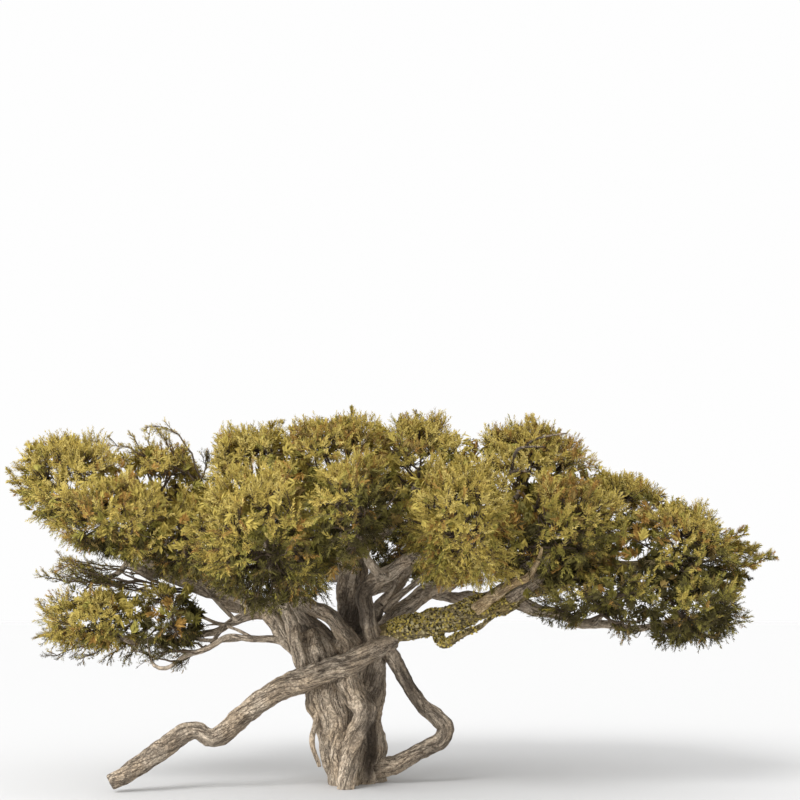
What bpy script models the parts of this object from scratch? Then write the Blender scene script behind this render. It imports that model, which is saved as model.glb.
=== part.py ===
"""An old, wide olive tree, whole, from the flat cut at the ground to the tips of its crown.

Metres, +Z up. The origin is at the middle of the trunk's foot, on the ground. +X runs along the crown's
longest reach, and the tree's best side faces -Y.

The trunk is several stems grown into one. Boughs leave it on collars: the first stretch of each bough is
fused to what carries it and ends in a flat face, and the bough starts 0.3 mm further on. A bough ends in
a flat face where it enters its mass of foliage, and the stem of that mass starts 0.3 mm further on.
"""

import math
import random

import bmesh
import bpy
import numpy as np
from mathutils import Matrix, Vector

# Driving dimensions of limbs
GAP = 0.0003  # between two flat faces that meet
CLEAR = 0.03  # between a limb and any leaf, twig or core that passes it
COLLAR_CLEAR = 0.02  # how far a collar stands out of what carries it
GNARL = 0.022  # how far a limb wanders from its smooth line
GNARL_LENGTH = 0.62  # length of one such wander
TRACE_STEP = 0.02  # spacing of the points that a limb's line is worked out at
STEM_STEP = 0.30  # length of the straight runs that a stem of the trunk is made of
BOUGH_STEP = 0.30
SIDE_STEP = 0.36
LOOP_STEP = 0.22
SHARP_ANGLE = 50  # degrees: a limb's edges under this are shaded smooth

# Driving dimensions of foliage
SPACE_GAP = 0.045  # kept free between two masses, as a share of their radius
CORE_FIT = 0.95  # how near a core comes to what limits it
CORE_LUMPS = 0.07  # how far a core's corners stand in and out, as a share of its mass's radius
CORE_FACET = 30  # degrees between neighbouring corners of a core
ARM_AREA = 0.85  # square metres of a mass's skin to each arm
OPEN_ARMS = 1.25  # a mass with no core has this many times the arms
OPEN_SHARE = 0.9  # an arm grows only where it can run this share of the way to the skin
ARM_SHARE = 0.80  # how far an arm runs out, as a share of its way to the skin
ARM_RADIUS = 0.022
ARM_TIP = 0.985  # the blade on an arm's end reaches this share of the way to the skin
SPRAY_LENGTH = 0.50  # a blade stands for a spray of leafy shoots
SPRAY_WIDTH = 0.25
SPRAY_DEPTH = 0.04
SPRAYS_EACH = 2  # on each arm: one on from its end, and one beside it
LEAST_SPRAY = 0.15  # a blade that has to be shorter than this is left out
GOLDEN_ANGLE = math.pi * (3 - math.sqrt(5))

# The stems that make the trunk, each from below the ground to the fork: x, y, z and radius along it.
TRUNK_STEMS = {
    "left": [
        (-0.13, -0.05, -0.10, 0.20),
        (-0.20, -0.10, 0.42, 0.22),
        (-0.31, -0.12, 0.93, 0.26),
        (-0.45, -0.10, 1.41, 0.27),
        (-0.60, -0.04, 1.76, 0.17),
    ],
    "front": [
        (-0.11, -0.46, -0.10, 0.11),
        (-0.08, -0.45, 0.32, 0.115),
        (0.06, -0.42, 0.66, 0.14),
        (0.09, -0.38, 0.88, 0.15),
        (-0.05, -0.34, 1.15, 0.16),
        (-0.22, -0.22, 1.42, 0.17),
    ],
    "right": [
        (0.20, 0.30, -0.10, 0.18),
        (0.18, 0.10, 0.50, 0.165),
        (0.14, 0.06, 0.98, 0.19),
        (0.17, 0.02, 1.40, 0.21),
        (0.24, 0.02, 1.70, 0.17),
    ],
    "middle": [
        (0.01, 0.18, -0.10, 0.28),
        (-0.02, 0.18, 0.60, 0.27),
        (-0.08, 0.16, 1.15, 0.31),
        (-0.12, 0.14, 1.55, 0.33),
        (-0.06, 0.16, 1.86, 0.22),
    ],
    "rear_left": [
        (-0.17, 0.46, -0.10, 0.18),
        (-0.20, 0.38, 0.50, 0.15),
        (-0.36, 0.24, 1.05, 0.19),
        (-0.38, 0.12, 1.50, 0.22),
    ],
    "rear_right": [
        (0.15, 0.64, -0.10, 0.17),
        (0.14, 0.46, 0.45, 0.14),
        (0.14, 0.34, 0.95, 0.17),
        (0.02, 0.26, 1.45, 0.22),
    ],
}

# Masses of foliage: middle, radii of its own space, and the size of its core against that space.
# A mass through which the sky shows has no core.
MASSES = {
    "left_far": ((-3.36, 0.05, 3.55), (0.82, 1.05, 0.62), 0.80),
    "left_front": ((-2.72, -0.95, 3.05), (0.84, 0.86, 0.56), 0.80),
    "left_mid": ((-2.46, 0.50, 3.60), (0.72, 1.05, 0.64), 0.80),
    "left_inner": ((-1.88, -0.45, 2.88), (0.84, 0.86, 0.58), 0.80),
    "centre_left_front": ((-0.94, -1.50, 2.94), (0.92, 1.05, 0.80), 0.80),
    "top_left": ((-1.20, 0.00, 3.70), (0.86, 1.15, 0.68), 0.80),
    "top_centre": ((-0.26, -0.30, 3.80), (0.86, 1.15, 0.66), 0.80),
    "top_right_centre": ((0.74, 0.15, 3.76), (0.90, 1.15, 0.68), 0.80),
    "centre_front": ((0.06, -1.80, 3.18), (0.76, 0.90, 0.68), 0.80),
    "right_front": ((1.14, -1.54, 3.10), (0.90, 1.02, 0.70), 0.80),
    "top_right": ((1.98, 0.10, 3.68), (0.98, 1.12, 0.68), 0.80),
    "right_mid": ((2.32, -0.78, 2.98), (0.92, 1.00, 0.72), 0.80),
    "right_upper": ((3.04, 0.45, 3.26), (0.92, 1.02, 0.58), 0.80),
    "right_far": ((3.80, -0.20, 2.80), (0.90, 1.02, 0.66), 0.80),
    "right_far_low": ((3.88, -0.60, 2.08), (0.74, 0.80, 0.54), 0.80),
    "right_low": ((2.84, -0.80, 2.18), (0.88, 0.82, 0.56), 0.80),
    "low_left": ((-3.08, 0.00, 1.94), (0.82, 0.84, 0.44), 0.70),
    "low_left_inner": ((-2.06, -0.20, 1.98), (0.82, 0.74, 0.48), 0.70),
    "left_twigs": ((-3.24, 0.50, 2.46), (0.72, 0.66, 0.26), 0),
    "back_left": ((-2.20, 1.55, 2.98), (1.05, 1.10, 0.76), 0.80),
    "back_centre_left": ((-0.76, 1.62, 3.12), (1.00, 1.15, 0.88), 0.80),
    "back_centre_right": ((0.84, 1.72, 3.10), (1.02, 1.15, 0.88), 0.80),
    "back_right": ((2.40, 1.52, 2.92), (1.05, 1.10, 0.78), 0.80),
}

# Long sprays that stand out beyond the skin of their mass: where their tips are.
LONG_TIPS = {
    "right_far": [(4.96, -0.22, 2.68), (4.62, -0.50, 2.96)],
    "left_far": [(-4.13, -0.30, 3.66), (-3.98, 0.10, 4.06)],
    "left_mid": [(-2.55, 0.40, 4.30), (-2.79, 0.42, 4.24)],
    "top_left": [(-0.98, 0.20, 4.38)],
    "top_centre": [(-0.05, -0.30, 4.43)],
    "top_right_centre": [(0.70, 0.10, 4.42)],
    "top_right": [(2.14, 0.00, 4.38)],
    "left_twigs": [(-3.88, 0.30, 2.45)],
    "low_left": [(-3.82, 0.00, 2.12), (-3.80, 0.05, 1.74)],
    "right_upper": [(3.98, 0.30, 3.28)],
}

# Boughs with a line of their own. Each starts inside what carries it. Where a mass is named, the line
# ends in the middle of that mass, and the bough stops at its edge.
BOUGHS = {
    "low_limb": {
        "from": "trunk",
        "way": [
            (0.44, -0.14, 1.68, 0.13),
            (-0.05, -0.40, 1.42, 0.165),
            (-0.64, -0.50, 1.24, 0.15),
            (-1.08, -0.54, 1.02, 0.125),
            (-1.46, -0.61, 0.70, 0.125),
            (-1.63, -0.63, 0.62, 0.11),
            (-1.83, -0.64, 0.67, 0.095),
            (-2.03, -0.67, 0.61, 0.115),
            (-2.45, -0.75, 0.30, 0.12),
            (-2.78, -0.78, 0.115, 0.095),
        ],
    },
    "rootlet": {
        "from": "trunk",
        "way": [
            (-0.32, -0.16, 1.00, 0.05),
            (-0.47, -0.34, 0.82, 0.04),
            (-0.49, -0.38, 0.52, 0.036),
            (-0.42, -0.37, 0.24, 0.024),
        ],
    },
    "mossy_bough": {
        "from": "trunk",
        "to": "right_far",
        "way": [
            (0.22, -0.06, 1.64, 0.15),
            (0.52, -0.17, 1.82, 0.135),
            (0.99, -0.30, 1.92, 0.155),
            (1.57, -0.40, 2.10, 0.15),
            (2.10, -0.42, 2.30, 0.11),
            (2.72, -0.22, 2.50, 0.08),
        ],
    },
    "elbow_bough": {
        "from": "trunk",
        "to": "right_front",
        "way": [
            (0.24, -0.06, 1.62, 0.12),
            (0.13, -0.32, 2.00, 0.10),
            (0.10, -0.40, 2.26, 0.105),
            (0.34, -0.56, 2.46, 0.10),
            (0.66, -0.90, 2.66, 0.08),
        ],
    },
    "rear_right_bough": {
        "from": "trunk",
        "to": "top_right",
        "way": [
            (0.22, 0.10, 1.62, 0.13),
            (0.58, 0.30, 2.08, 0.11),
            (0.98, 0.42, 2.30, 0.105),
            (1.40, 0.38, 2.62, 0.085),
            (1.74, 0.18, 3.16, 0.07),
        ],
    },
    "rear_bough": {
        "from": "trunk",
        "to": "top_centre",
        "way": [
            (-0.06, 0.16, 1.70, 0.20),
            (-0.07, 0.26, 2.10, 0.17),
            (-0.12, 0.20, 2.60, 0.13),
            (-0.20, -0.05, 3.15, 0.09),
        ],
    },
    "inner_left_bough": {
        "from": "trunk",
        "to": "top_left",
        "way": [
            (-0.02, -0.10, 1.62, 0.12),
            (-0.27, -0.24, 1.92, 0.10),
            (-0.54, -0.28, 2.12, 0.10),
            (-0.86, -0.26, 2.40, 0.085),
            (-1.10, -0.12, 2.95, 0.065),
        ],
    },
    "outer_left_bough": {
        "from": "trunk",
        "to": "centre_left_front",
        "way": [
            (-0.60, -0.24, 1.30, 0.11),
            (-0.69, -0.34, 1.63, 0.085),
            (-0.77, -0.42, 1.92, 0.08),
            (-0.84, -0.78, 2.20, 0.07),
        ],
    },
    "left_bough": {
        "from": "trunk",
        "to": "left_far",
        "way": [
            (-0.55, 0.02, 1.62, 0.15),
            (-0.90, 0.02, 1.98, 0.11),
            (-1.45, 0.12, 2.20, 0.09),
            (-2.15, 0.16, 2.38, 0.07),
            (-2.80, 0.10, 2.88, 0.055),
        ],
    },
    "thin_left_bough": {
        "from": "trunk",
        "way": [
            (-0.55, -0.06, 1.60, 0.075),
            (-0.95, -0.16, 1.69, 0.05),
            (-1.28, -0.20, 1.73, 0.042),
            (-1.60, -0.30, 1.69, 0.036),
            (-1.94, -0.36, 1.53, 0.032),
            (-2.20, -0.40, 1.39, 0.027),
            (-2.36, -0.41, 1.44, 0.021),
            (-2.44, -0.40, 1.72, 0.012),
        ],
    },
    "drooping_bough": {
        "from": "mossy_bough",
        "to": "right_far_low",
        "way": [
            (1.82, -0.41, 2.18, 0.09),
            (2.19, -0.36, 2.04, 0.075),
            (2.65, -0.20, 1.92, 0.062),
            (3.19, -0.18, 1.84, 0.05),
        ],
    },
    "snag": {
        "from": "mossy_bough",
        "way": [
            (1.34, -0.36, 2.00, 0.10),
            (1.62, -0.70, 2.24, 0.075),
            (1.92, -1.10, 2.42, 0.055),
            (2.04, -1.32, 2.56, 0.045),
            (2.10, -1.46, 2.78, 0.014),
        ],
    },
    "under_bough": {
        "from": "mossy_bough",
        "way": [
            (0.92, -0.30, 1.84, 0.075),
            (1.06, -0.46, 1.66, 0.055),
            (1.36, -0.60, 1.84, 0.038),
            (1.66, -0.72, 2.02, 0.018),
        ],
    },
}

# The loop limb leaves the fork, hangs out to an elbow and grows back into the trunk's foot.
LOOP_LIMB = [
    (0.28, -0.06, 1.64, 0.12),
    (0.46, -0.16, 1.46, 0.10),
    (0.56, -0.20, 1.27, 0.09),
    (0.64, -0.20, 1.10, 0.088),
    (0.78, -0.18, 0.93, 0.09),
    (0.95, -0.15, 0.80, 0.10),
    (1.06, -0.12, 0.68, 0.10),
    (1.00, -0.11, 0.56, 0.10),
    (0.83, -0.10, 0.43, 0.10),
    (0.62, -0.06, 0.31, 0.105),
    (0.42, 0.02, 0.21, 0.115),
    (0.20, 0.14, 0.16, 0.13),
]
LOOP_ELBOW = 0.52  # share of the limb's length where it turns back

# Side boughs that a rule draws: the bough that carries it, the share of its length, and its radius.
SIDE_BOUGHS = {
    "left_front": ("left_bough", 0.60, 0.060),
    "left_mid": ("left_bough", 0.52, 0.060),
    "left_inner": ("left_bough", 0.34, 0.055),
    "left_twigs": ("left_bough", 0.72, 0.035),
    "low_left": ("left_bough", 0.22, 0.050),
    "low_left_inner": ("thin_left_bough", 0.34, 0.026),
    "top_right_centre": ("rear_bough", 0.50, 0.085),
    "centre_front": ("elbow_bough", 0.46, 0.060),
    "right_mid": ("mossy_bough", 0.40, 0.085),
    "right_upper": ("rear_right_bough", 0.56, 0.060),
    "right_low": ("drooping_bough", 0.36, 0.045),
    "back_left": ("left_bough", 0.16, 0.075),
    "back_centre_left": ("rear_bough", 0.40, 0.090),
    "back_centre_right": ("rear_bough", 0.30, 0.085),
    "back_right": ("rear_right_bough", 0.34, 0.075),
}
SIDE_TAPER = 0.62  # a side bough's radius at its tip against that at its foot
SIDE_SAG = 0.13  # how low a side bough swings before it turns up, as a share of its length
LEAST_BOUGH = 0.34  # a side bough shorter than this stays a collar of its parent
STEM_SHARE = 0.90  # a bough ends at this share of its mass's radius
HUB_DROP = 0.30  # the foot of a mass's twigs lies this share of its height under its middle


def start_scene():
    """Empties the scene and makes the collection of the tree."""
    for thing in list(bpy.data.objects):
        bpy.data.objects.remove(thing)
    tree = bpy.data.collections.new("olive_tree")
    bpy.context.scene.collection.children.link(tree)
    return tree


def finish_of(name, colour, roughness):
    """A Principled material with the part's colour and roughness."""
    material = bpy.data.materials.new(name)
    material.use_nodes = True
    shader = material.node_tree.nodes["Principled BSDF"]
    shader.inputs["Base Color"].default_value = (*colour, 1)
    shader.inputs["Roughness"].default_value = roughness
    shader.inputs["Metallic"].default_value = 0.0
    return material


# Lines of limbs


def trace(way):
    """Points (x, y, z, radius) about TRACE_STEP apart on a smooth line through the points of the way."""
    knots = np.array([way[0], *way, way[-1]], float)
    line = []
    for before, start, end, after in zip(knots, knots[1:], knots[2:], knots[3:]):
        steps = max(2, round(np.linalg.norm(end[:3] - start[:3]) / TRACE_STEP))
        t = np.linspace(0, 1, steps, endpoint=False)[:, None]
        line.append(
            start
            + (end - before) * t / 2
            + (2 * before - 5 * start + 4 * end - after) * t**2 / 2
            + (3 * start - before - 3 * end + after) * t**3 / 2
        )
    return np.vstack([*line, knots[-1]])


def lengths_along(line):
    """Distance from the line's start to each of its points."""
    return np.concatenate([[0], np.cumsum(np.linalg.norm(np.diff(line[:, :3], axis=0), axis=1))])


def gnarled(line, name):
    """The line with slow wanders to its sides, none at its two ends."""
    draw = random.Random(name)
    along = lengths_along(line)
    fade = np.sin(np.pi * along / along[-1])
    bent = line.copy()
    for axis in range(3):
        phase = draw.uniform(0, 2 * math.pi)
        pitch = GNARL_LENGTH * draw.uniform(0.8, 1.25)
        bent[:, axis] += GNARL * fade * np.sin(2 * math.pi * along / pitch + phase)
    return bent


def point_at(line, share):
    """Index of the line's point at this share of its length."""
    along = lengths_along(line)
    return int(np.searchsorted(along, share * along[-1]))


def side_way(parent_line, share, hub, radius):
    """Way of a side bough: out of its parent, low at first, then up into the mass."""
    foot = parent_line[point_at(parent_line, share)][:3]
    run = np.array(hub) - foot
    length = np.linalg.norm(run)
    low = foot + run * 0.40 - np.array([0, 0, SIDE_SAG * length])
    late = foot + run * 0.75 - np.array([0, 0, SIDE_SAG * length * 0.8])
    radii = [radius, radius * 0.95, radius * (0.5 + SIDE_TAPER / 2), radius * SIDE_TAPER]
    return [(*place, size) for place, size in zip((foot, low, late, hub), radii)]


def ring_points(line, index):
    """Points round the limb at this place of its line."""
    here = line[index]
    near, far = line[max(index - 1, 0)], line[min(index + 1, len(line) - 1)]
    ahead = (far - near)[:3]
    ahead /= np.linalg.norm(ahead)
    side = np.cross(ahead, [0.31, 0.17, 0.93])
    side /= np.linalg.norm(side)
    other = np.cross(ahead, side)
    turns = np.linspace(0, 2 * math.pi, 12, endpoint=False)[:, None]
    return here[:3] + here[3] * (side * np.cos(turns) + other * np.sin(turns))


def room_from(points, lines):
    """Least distance from each point to the skin of any of the lines."""
    points = np.atleast_2d(points)
    least = np.full(len(points), 1e9)
    for line in lines:
        gaps = np.linalg.norm(points[:, None, :] - line[None, :, :3], axis=2) - line[None, :, 3]
        least = np.minimum(least, gaps.min(axis=1))
    return least


def collar_end(line, carriers):
    """Index just past the last place, in the limb's first half, that isn't clear of what carries it."""
    touching = [
        index
        for index in range(1, len(line) // 2)
        if room_from(ring_points(line, index), carriers).min() < COLLAR_CLEAR
    ]
    return max(touching) + 1


def run_of(line, first, last, spacing):
    """Points of the line from index first to last, about this far apart."""
    along = lengths_along(line)
    count = max(1, round((along[last] - along[first]) / spacing))
    marks = np.linspace(along[first], along[last], count + 1)
    picked = [line[min(int(np.searchsorted(along, mark)), last)] for mark in marks]
    picked[0] = line[first]
    picked[-1] = line[last]
    return np.array(picked)


def split_face(line, index):
    """The flat face across the limb at this index: its middle and the way it faces."""
    ahead = (line[index + 1] - line[index - 1])[:3]
    return line[index], np.array([*(ahead / np.linalg.norm(ahead)), 0])


# Solids


def tube(name, points, level):
    """A closed tube round the points, its radius theirs. It is made as a curve and turned into a mesh."""
    curve = bpy.data.curves.new(name, "CURVE")
    curve.dimensions = "3D"
    curve.bevel_depth = 1.0
    curve.bevel_resolution = level
    curve.use_fill_caps = True
    spline = curve.splines.new("POLY")
    spline.points.add(len(points) - 1)
    for knot, (x, y, z, radius) in zip(spline.points, points):
        knot.co = (x, y, z, 1)
        knot.radius = radius
    guide = bpy.data.objects.new(name, curve)
    bpy.context.scene.collection.objects.link(guide)
    graph = bpy.context.evaluated_depsgraph_get()
    mesh = bpy.data.meshes.new_from_object(guide.evaluated_get(graph))
    bpy.data.objects.remove(guide)
    bpy.data.curves.remove(curve)
    form = bmesh.new()
    form.from_mesh(mesh)
    bmesh.ops.remove_doubles(form, verts=form.verts, dist=1e-5)
    bmesh.ops.recalc_face_normals(form, faces=form.faces)
    form.to_mesh(mesh)
    form.free()
    return mesh


def limb_run(name, line, first, last, spacing, level, gap_before=False, gap_after=False):
    """A stretch of a limb as a tube with flat ends square to the line. Gaps can be left at its ends."""
    points = run_of(line, first, last, spacing)
    lead = min(0.35 * spacing, 0.05)
    if first > 0:
        face, ahead = split_face(line, first)
        points[0] = face + ahead * (GAP if gap_before else 0)
        points = np.insert(points, 1, face + ahead * lead, axis=0)
    if last < len(line) - 1:
        face, ahead = split_face(line, last)
        points[-1] = face - ahead * (GAP if gap_after else 0)
        points = np.insert(points, -1, face - ahead * lead, axis=0)
    return tube(name, points, level)


def mesh_of(form, name):
    mesh = bpy.data.meshes.new(name)
    form.to_mesh(mesh)
    form.free()
    return mesh


def twig_prism(name, start, end, radius_start, radius_end):
    """A three-sided twig from start to end."""
    form = bmesh.new()
    run = Vector(end) - Vector(start)
    bmesh.ops.create_cone(
        form, segments=3, cap_ends=True, radius1=radius_start, radius2=radius_end, depth=run.length
    )
    turn = run.to_track_quat("Z", "Y").to_matrix().to_4x4()
    middle = Matrix.Translation((Vector(start) + Vector(end)) / 2)
    bmesh.ops.transform(form, matrix=middle @ turn, verts=form.verts)
    return mesh_of(form, name)


def spray_blade(name, root, ahead, face, length):
    """An eight-faced blade that stands for one spray: root, tip, two edges and a thin middle."""
    form = bmesh.new()
    bmesh.ops.create_uvsphere(form, u_segments=4, v_segments=2, radius=0.5)
    along = Vector(ahead).normalized()
    across = along.cross(Vector(face)).normalized()
    up = along.cross(across)
    share = length / SPRAY_LENGTH
    axes = Matrix(
        (across * SPRAY_WIDTH * share, up * SPRAY_DEPTH * share, along * length)
    ).transposed().to_4x4()
    place = Matrix.Translation(Vector(root) + along * length / 2)
    bmesh.ops.transform(form, matrix=place @ axes, verts=form.verts)
    return mesh_of(form, name)


def fuse(name, meshes, cut_at_ground=False):
    """One closed mesh from overlapping closed ones, with loose scraps and sealed hollows dropped."""
    pieces = bpy.data.collections.new(name + "_pieces")
    bpy.context.scene.collection.children.link(pieces)
    first, *others = [bpy.data.objects.new(f"{name}_{k}", m) for k, m in enumerate(meshes)]
    bpy.context.scene.collection.objects.link(first)
    for other in others:
        pieces.objects.link(other)
    if others:
        joint = first.modifiers.new("union", "BOOLEAN")
        joint.operation = "UNION"
        joint.operand_type = "COLLECTION"
        joint.collection = pieces
    graph = bpy.context.evaluated_depsgraph_get()
    mesh = bpy.data.meshes.new_from_object(first.evaluated_get(graph))
    for thing in (first, *others):
        bpy.data.objects.remove(thing)
    bpy.data.collections.remove(pieces)
    form = bmesh.new()
    form.from_mesh(mesh)
    if cut_at_ground:
        everything = [*form.verts, *form.edges, *form.faces]
        bmesh.ops.bisect_plane(
            form, geom=everything, plane_co=(0, 0, 0), plane_no=(0, 0, -1), clear_outer=True
        )
        rim = [edge for edge in form.edges if edge.is_boundary]
        bmesh.ops.triangle_fill(form, edges=rim, use_beauty=True)
        bmesh.ops.recalc_face_normals(form, faces=form.faces)
    keep_outer_shell(form)
    form.to_mesh(mesh)
    form.free()
    return mesh


def keep_outer_shell(form):
    """Deletes every shell of the form but the widest one."""
    unseen = set(form.verts)
    shells = []
    while unseen:
        queue = [unseen.pop()]
        shell = set(queue)
        while queue:
            for edge in queue.pop().link_edges:
                for vert in edge.verts:
                    if vert in unseen:
                        unseen.remove(vert)
                        shell.add(vert)
                        queue.append(vert)
        shells.append(shell)
    widths = [max((v.co - next(iter(s)).co).length for v in s) for s in shells]
    widest = shells[widths.index(max(widths))]
    loose = [vert for vert in form.verts if vert not in widest]
    bmesh.ops.delete(form, geom=loose, context="VERTS")


def place_node(tree, name, mesh, material):
    """The finished mesh as a named object of the tree. Limbs are round, and leaves are flat."""
    node = bpy.data.objects.new(name, mesh)
    mesh.materials.clear()
    mesh.materials.append(material)
    if not name.startswith("foliage"):
        mesh.shade_smooth()
        mesh.set_sharp_from_angle(angle=math.radians(SHARP_ANGLE))
    tree.objects.link(node)


# The space of each mass


def depth_in(mass, points):
    """How far out each point is in the mass's space: 0 in its middle, 1 at its skin."""
    middle, radii, _ = MASSES[mass]
    return np.linalg.norm((np.atleast_2d(points) - middle) / np.array(radii), axis=1)


def in_space(mass, points):
    """Whether each point lies in the mass's own space, and not in that of a neighbour."""
    own = depth_in(mass, points)
    nearest = np.full(len(own), 1e9)
    for other in MASSES:
        if other != mass:
            nearest = np.minimum(nearest, depth_in(other, points))
    return (own < 1.0) & (own < nearest - SPACE_GAP)


def off_limbs(points, limbs):
    """Whether each point keeps clear of every limb."""
    return room_from(points, limbs) > CLEAR


def skin(mass, ways):
    """How far from the mass's middle each way meets the skin of its space."""
    return 0.999 / np.linalg.norm(ways / np.array(MASSES[mass][1]), axis=1)


def reach(mass, ways, allowed):
    """How far from the mass's middle each way runs while allowed(points) holds, up to its skin."""
    middle = MASSES[mass][0]
    full = skin(mass, ways)
    open_so_far = np.ones(len(ways), bool)
    found = np.zeros(len(ways))
    for share in np.linspace(0.05, 1.0, 20):
        open_so_far &= allowed(np.array(middle) + ways * (full * share)[:, None])
        found = np.where(open_so_far, full * share, found)
    return found


def even_ways(count, draw):
    """Directions spread evenly over a sphere, from the top down, turned by a drawn angle."""
    start = draw.uniform(0, 2 * math.pi)
    heights = 1 - (np.arange(count) + 0.5) * 2 / count
    turns = start + GOLDEN_ANGLE * np.arange(count)
    flat = np.sqrt(1 - heights**2)
    return np.stack([flat * np.cos(turns), flat * np.sin(turns), heights], axis=1)


def core_mesh(mass, limbs):
    """The heart of a dense mass: a lumpy ball, drawn in wherever a limb or a neighbour is near."""
    middle = np.array(MASSES[mass][0])
    draw = random.Random(mass + " core")
    form = bmesh.new()
    bmesh.ops.create_icosphere(form, subdivisions=2, radius=1)
    corners = np.array([vert.co for vert in form.verts])
    full = skin(mass, corners)
    space = CORE_FIT * reach(mass, corners, lambda points: in_space(mass, points))
    fine = even_ways(400, draw)
    clear = reach(mass, fine, lambda points: off_limbs(points, limbs))
    for vert, corner, out, room in zip(form.verts, corners, full, space):
        round_it = CORE_FIT * clear[fine @ corner > math.cos(math.radians(CORE_FACET))].min()
        out *= MASSES[mass][2] + draw.uniform(-CORE_LUMPS, CORE_LUMPS)
        vert.co = Vector(middle + corner * max(0.08, min(out, room, round_it)))
    return mesh_of(form, mass + "_core")


def skin_area(mass):
    """Surface of the mass's space, near enough, by its mean radius."""
    radii = MASSES[mass][1]
    return 4 * math.pi * (radii[0] * radii[1] * radii[2]) ** (2 / 3)


def arms_of(mass, limbs):
    """The arms of a mass, each a start, an end and a direction. Sprays grow on them."""
    middle = np.array(MASSES[mass][0])
    dense = MASSES[mass][2]
    draw = random.Random(mass)
    count = round(skin_area(mass) / ARM_AREA * (1 if dense else OPEN_ARMS))
    ways = even_ways(count, draw)
    far = reach(mass, ways, lambda points: in_space(mass, points) & off_limbs(points, limbs))
    free = far > OPEN_SHARE * skin(mass, ways)
    foot = middle - np.array([0, 0, HUB_DROP * MASSES[mass][1][2]])
    arms = []
    for way, length in zip(ways[free], far[free]):
        end = middle + way * length * ARM_SHARE
        start = middle + way * 0.04 if dense else foot
        arms.append((start, end, way, ARM_TIP * length))
    for tip in LONG_TIPS.get(mass, []):
        way = np.array(tip) - middle
        length = np.linalg.norm(way)
        way /= length
        start = middle + way * 0.04 if dense else foot
        arms.append((start, middle + way * (length - SPRAY_LENGTH), way, length))
    return arms


def sprays_on(mass, arm, limbs, draw):
    """Sprays of one arm, each a root, a direction and a length: one on from its end, the others round it.

    The first runs out to the arm's reach. The others are drawn shorter until they keep to the mass's
    own space, and left out where they can't.
    """
    start, end, way, far = arm
    run = end - start
    side = np.cross(way, [0.2, 0.3, 0.93])
    side /= np.linalg.norm(side)
    other = np.cross(way, side)
    turn = draw.uniform(0, 2 * math.pi)
    root = end - run * 0.08
    tip = np.array(MASSES[mass][0]) + way * far
    sprays = [(root, tip - root, np.linalg.norm(tip - root))]
    for k in range(1, SPRAYS_EACH):
        angle = turn + GOLDEN_ANGLE * k
        out = side * math.cos(angle) + other * math.sin(angle)
        lean = way * 0.55 + out * 0.80 + np.array([0, 0, 0.22])
        lean /= np.linalg.norm(lean)
        root = end - run * (0.08 + 0.08 * k)
        length = SPRAY_LENGTH * draw.uniform(0.85, 1.15)
        while length > LEAST_SPRAY:
            line = spray_line(root, lean, length)
            if (in_space(mass, line) & off_limbs(line, limbs)).all():
                break
            length *= 0.82
        if length > LEAST_SPRAY:
            sprays.append((root, lean, length))
    return sprays


def spray_line(root, ahead, length):
    """Points along the outer part of a spray."""
    return root + np.outer(np.linspace(0.3, 1.0, 5) * length, ahead)


def mass_mesh(mass, stem_line, entry, limbs):
    """A mass of foliage: stem, core where it is dense, arms and the blades that stand for sprays."""
    dense = MASSES[mass][2]
    draw = random.Random(mass + " sprays")
    pieces = [limb_run(mass + "_stem", stem_line, entry, len(stem_line) - 1, SIDE_STEP, 1, gap_before=True)]
    if dense:
        pieces.append(core_mesh(mass, limbs))
    for arm in arms_of(mass, limbs):
        pieces.append(twig_prism(mass + "_arm", arm[0], arm[1], ARM_RADIUS * 1.3, ARM_RADIUS * 0.8))
        for root, ahead, length in sprays_on(mass, arm, limbs, draw):
            face = np.array([draw.uniform(-0.3, 0.3), draw.uniform(-0.3, 0.3), 1.0])
            pieces.append(spray_blade(mass + "_spray", root, ahead, face, length))
    return fuse(mass, pieces)


# The tree


def hub_of(mass):
    """Where the twigs of a mass spring from, at the end of its stem."""
    (x, y, z), radii, _ = MASSES[mass]
    return (x, y, z - HUB_DROP * radii[2])


def mass_of(limb):
    """The mass that a limb carries, or None for a bare one."""
    if limb in BOUGHS:
        return BOUGHS[limb].get("to")
    return limb.removeprefix("bough_")


def limb_lines():
    """The line of each bough, and the name of what carries it."""
    lines = {}
    carried_by = {}
    for name, bough in BOUGHS.items():
        way = list(bough["way"])
        if "to" in bough:
            way.append((*hub_of(bough["to"]), way[-1][3] * 0.7))
        lines[name] = gnarled(trace(way), name)
        carried_by[name] = bough["from"]
    for mass, (parent, share, radius) in SIDE_BOUGHS.items():
        name = "bough_" + mass
        lines[name] = gnarled(trace(side_way(lines[parent], share, hub_of(mass), radius)), name)
        carried_by[name] = parent
    return lines, carried_by


def bough_ends(name, lines, carried_by, trunk_lines):
    """First and last index of a bough past its collar, up to its mass. They are equal if it stays a collar."""
    parent = carried_by[name]
    carriers = trunk_lines if parent == "trunk" else [lines[parent]]
    siblings = [lines[other] for other, by in carried_by.items() if by == parent and other != name]
    first = collar_end(lines[name], carriers + siblings)
    last = len(lines[name]) - 1
    if mass_of(name):
        inside = depth_in(mass_of(name), lines[name][:, :3]) < STEM_SHARE
        last = max(first, int(np.argmax(inside)))
    if (last - first) * TRACE_STEP < LEAST_BOUGH:
        first = last
    return first, last


def collars_on(parent, lines, carried_by, ends, level):
    """The first stretch of each limb that the parent carries."""
    return [
        limb_run(name + "_collar", lines[name], 0, ends[name][0], BOUGH_STEP, level)
        for name, by in carried_by.items()
        if by == parent
    ]


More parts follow.
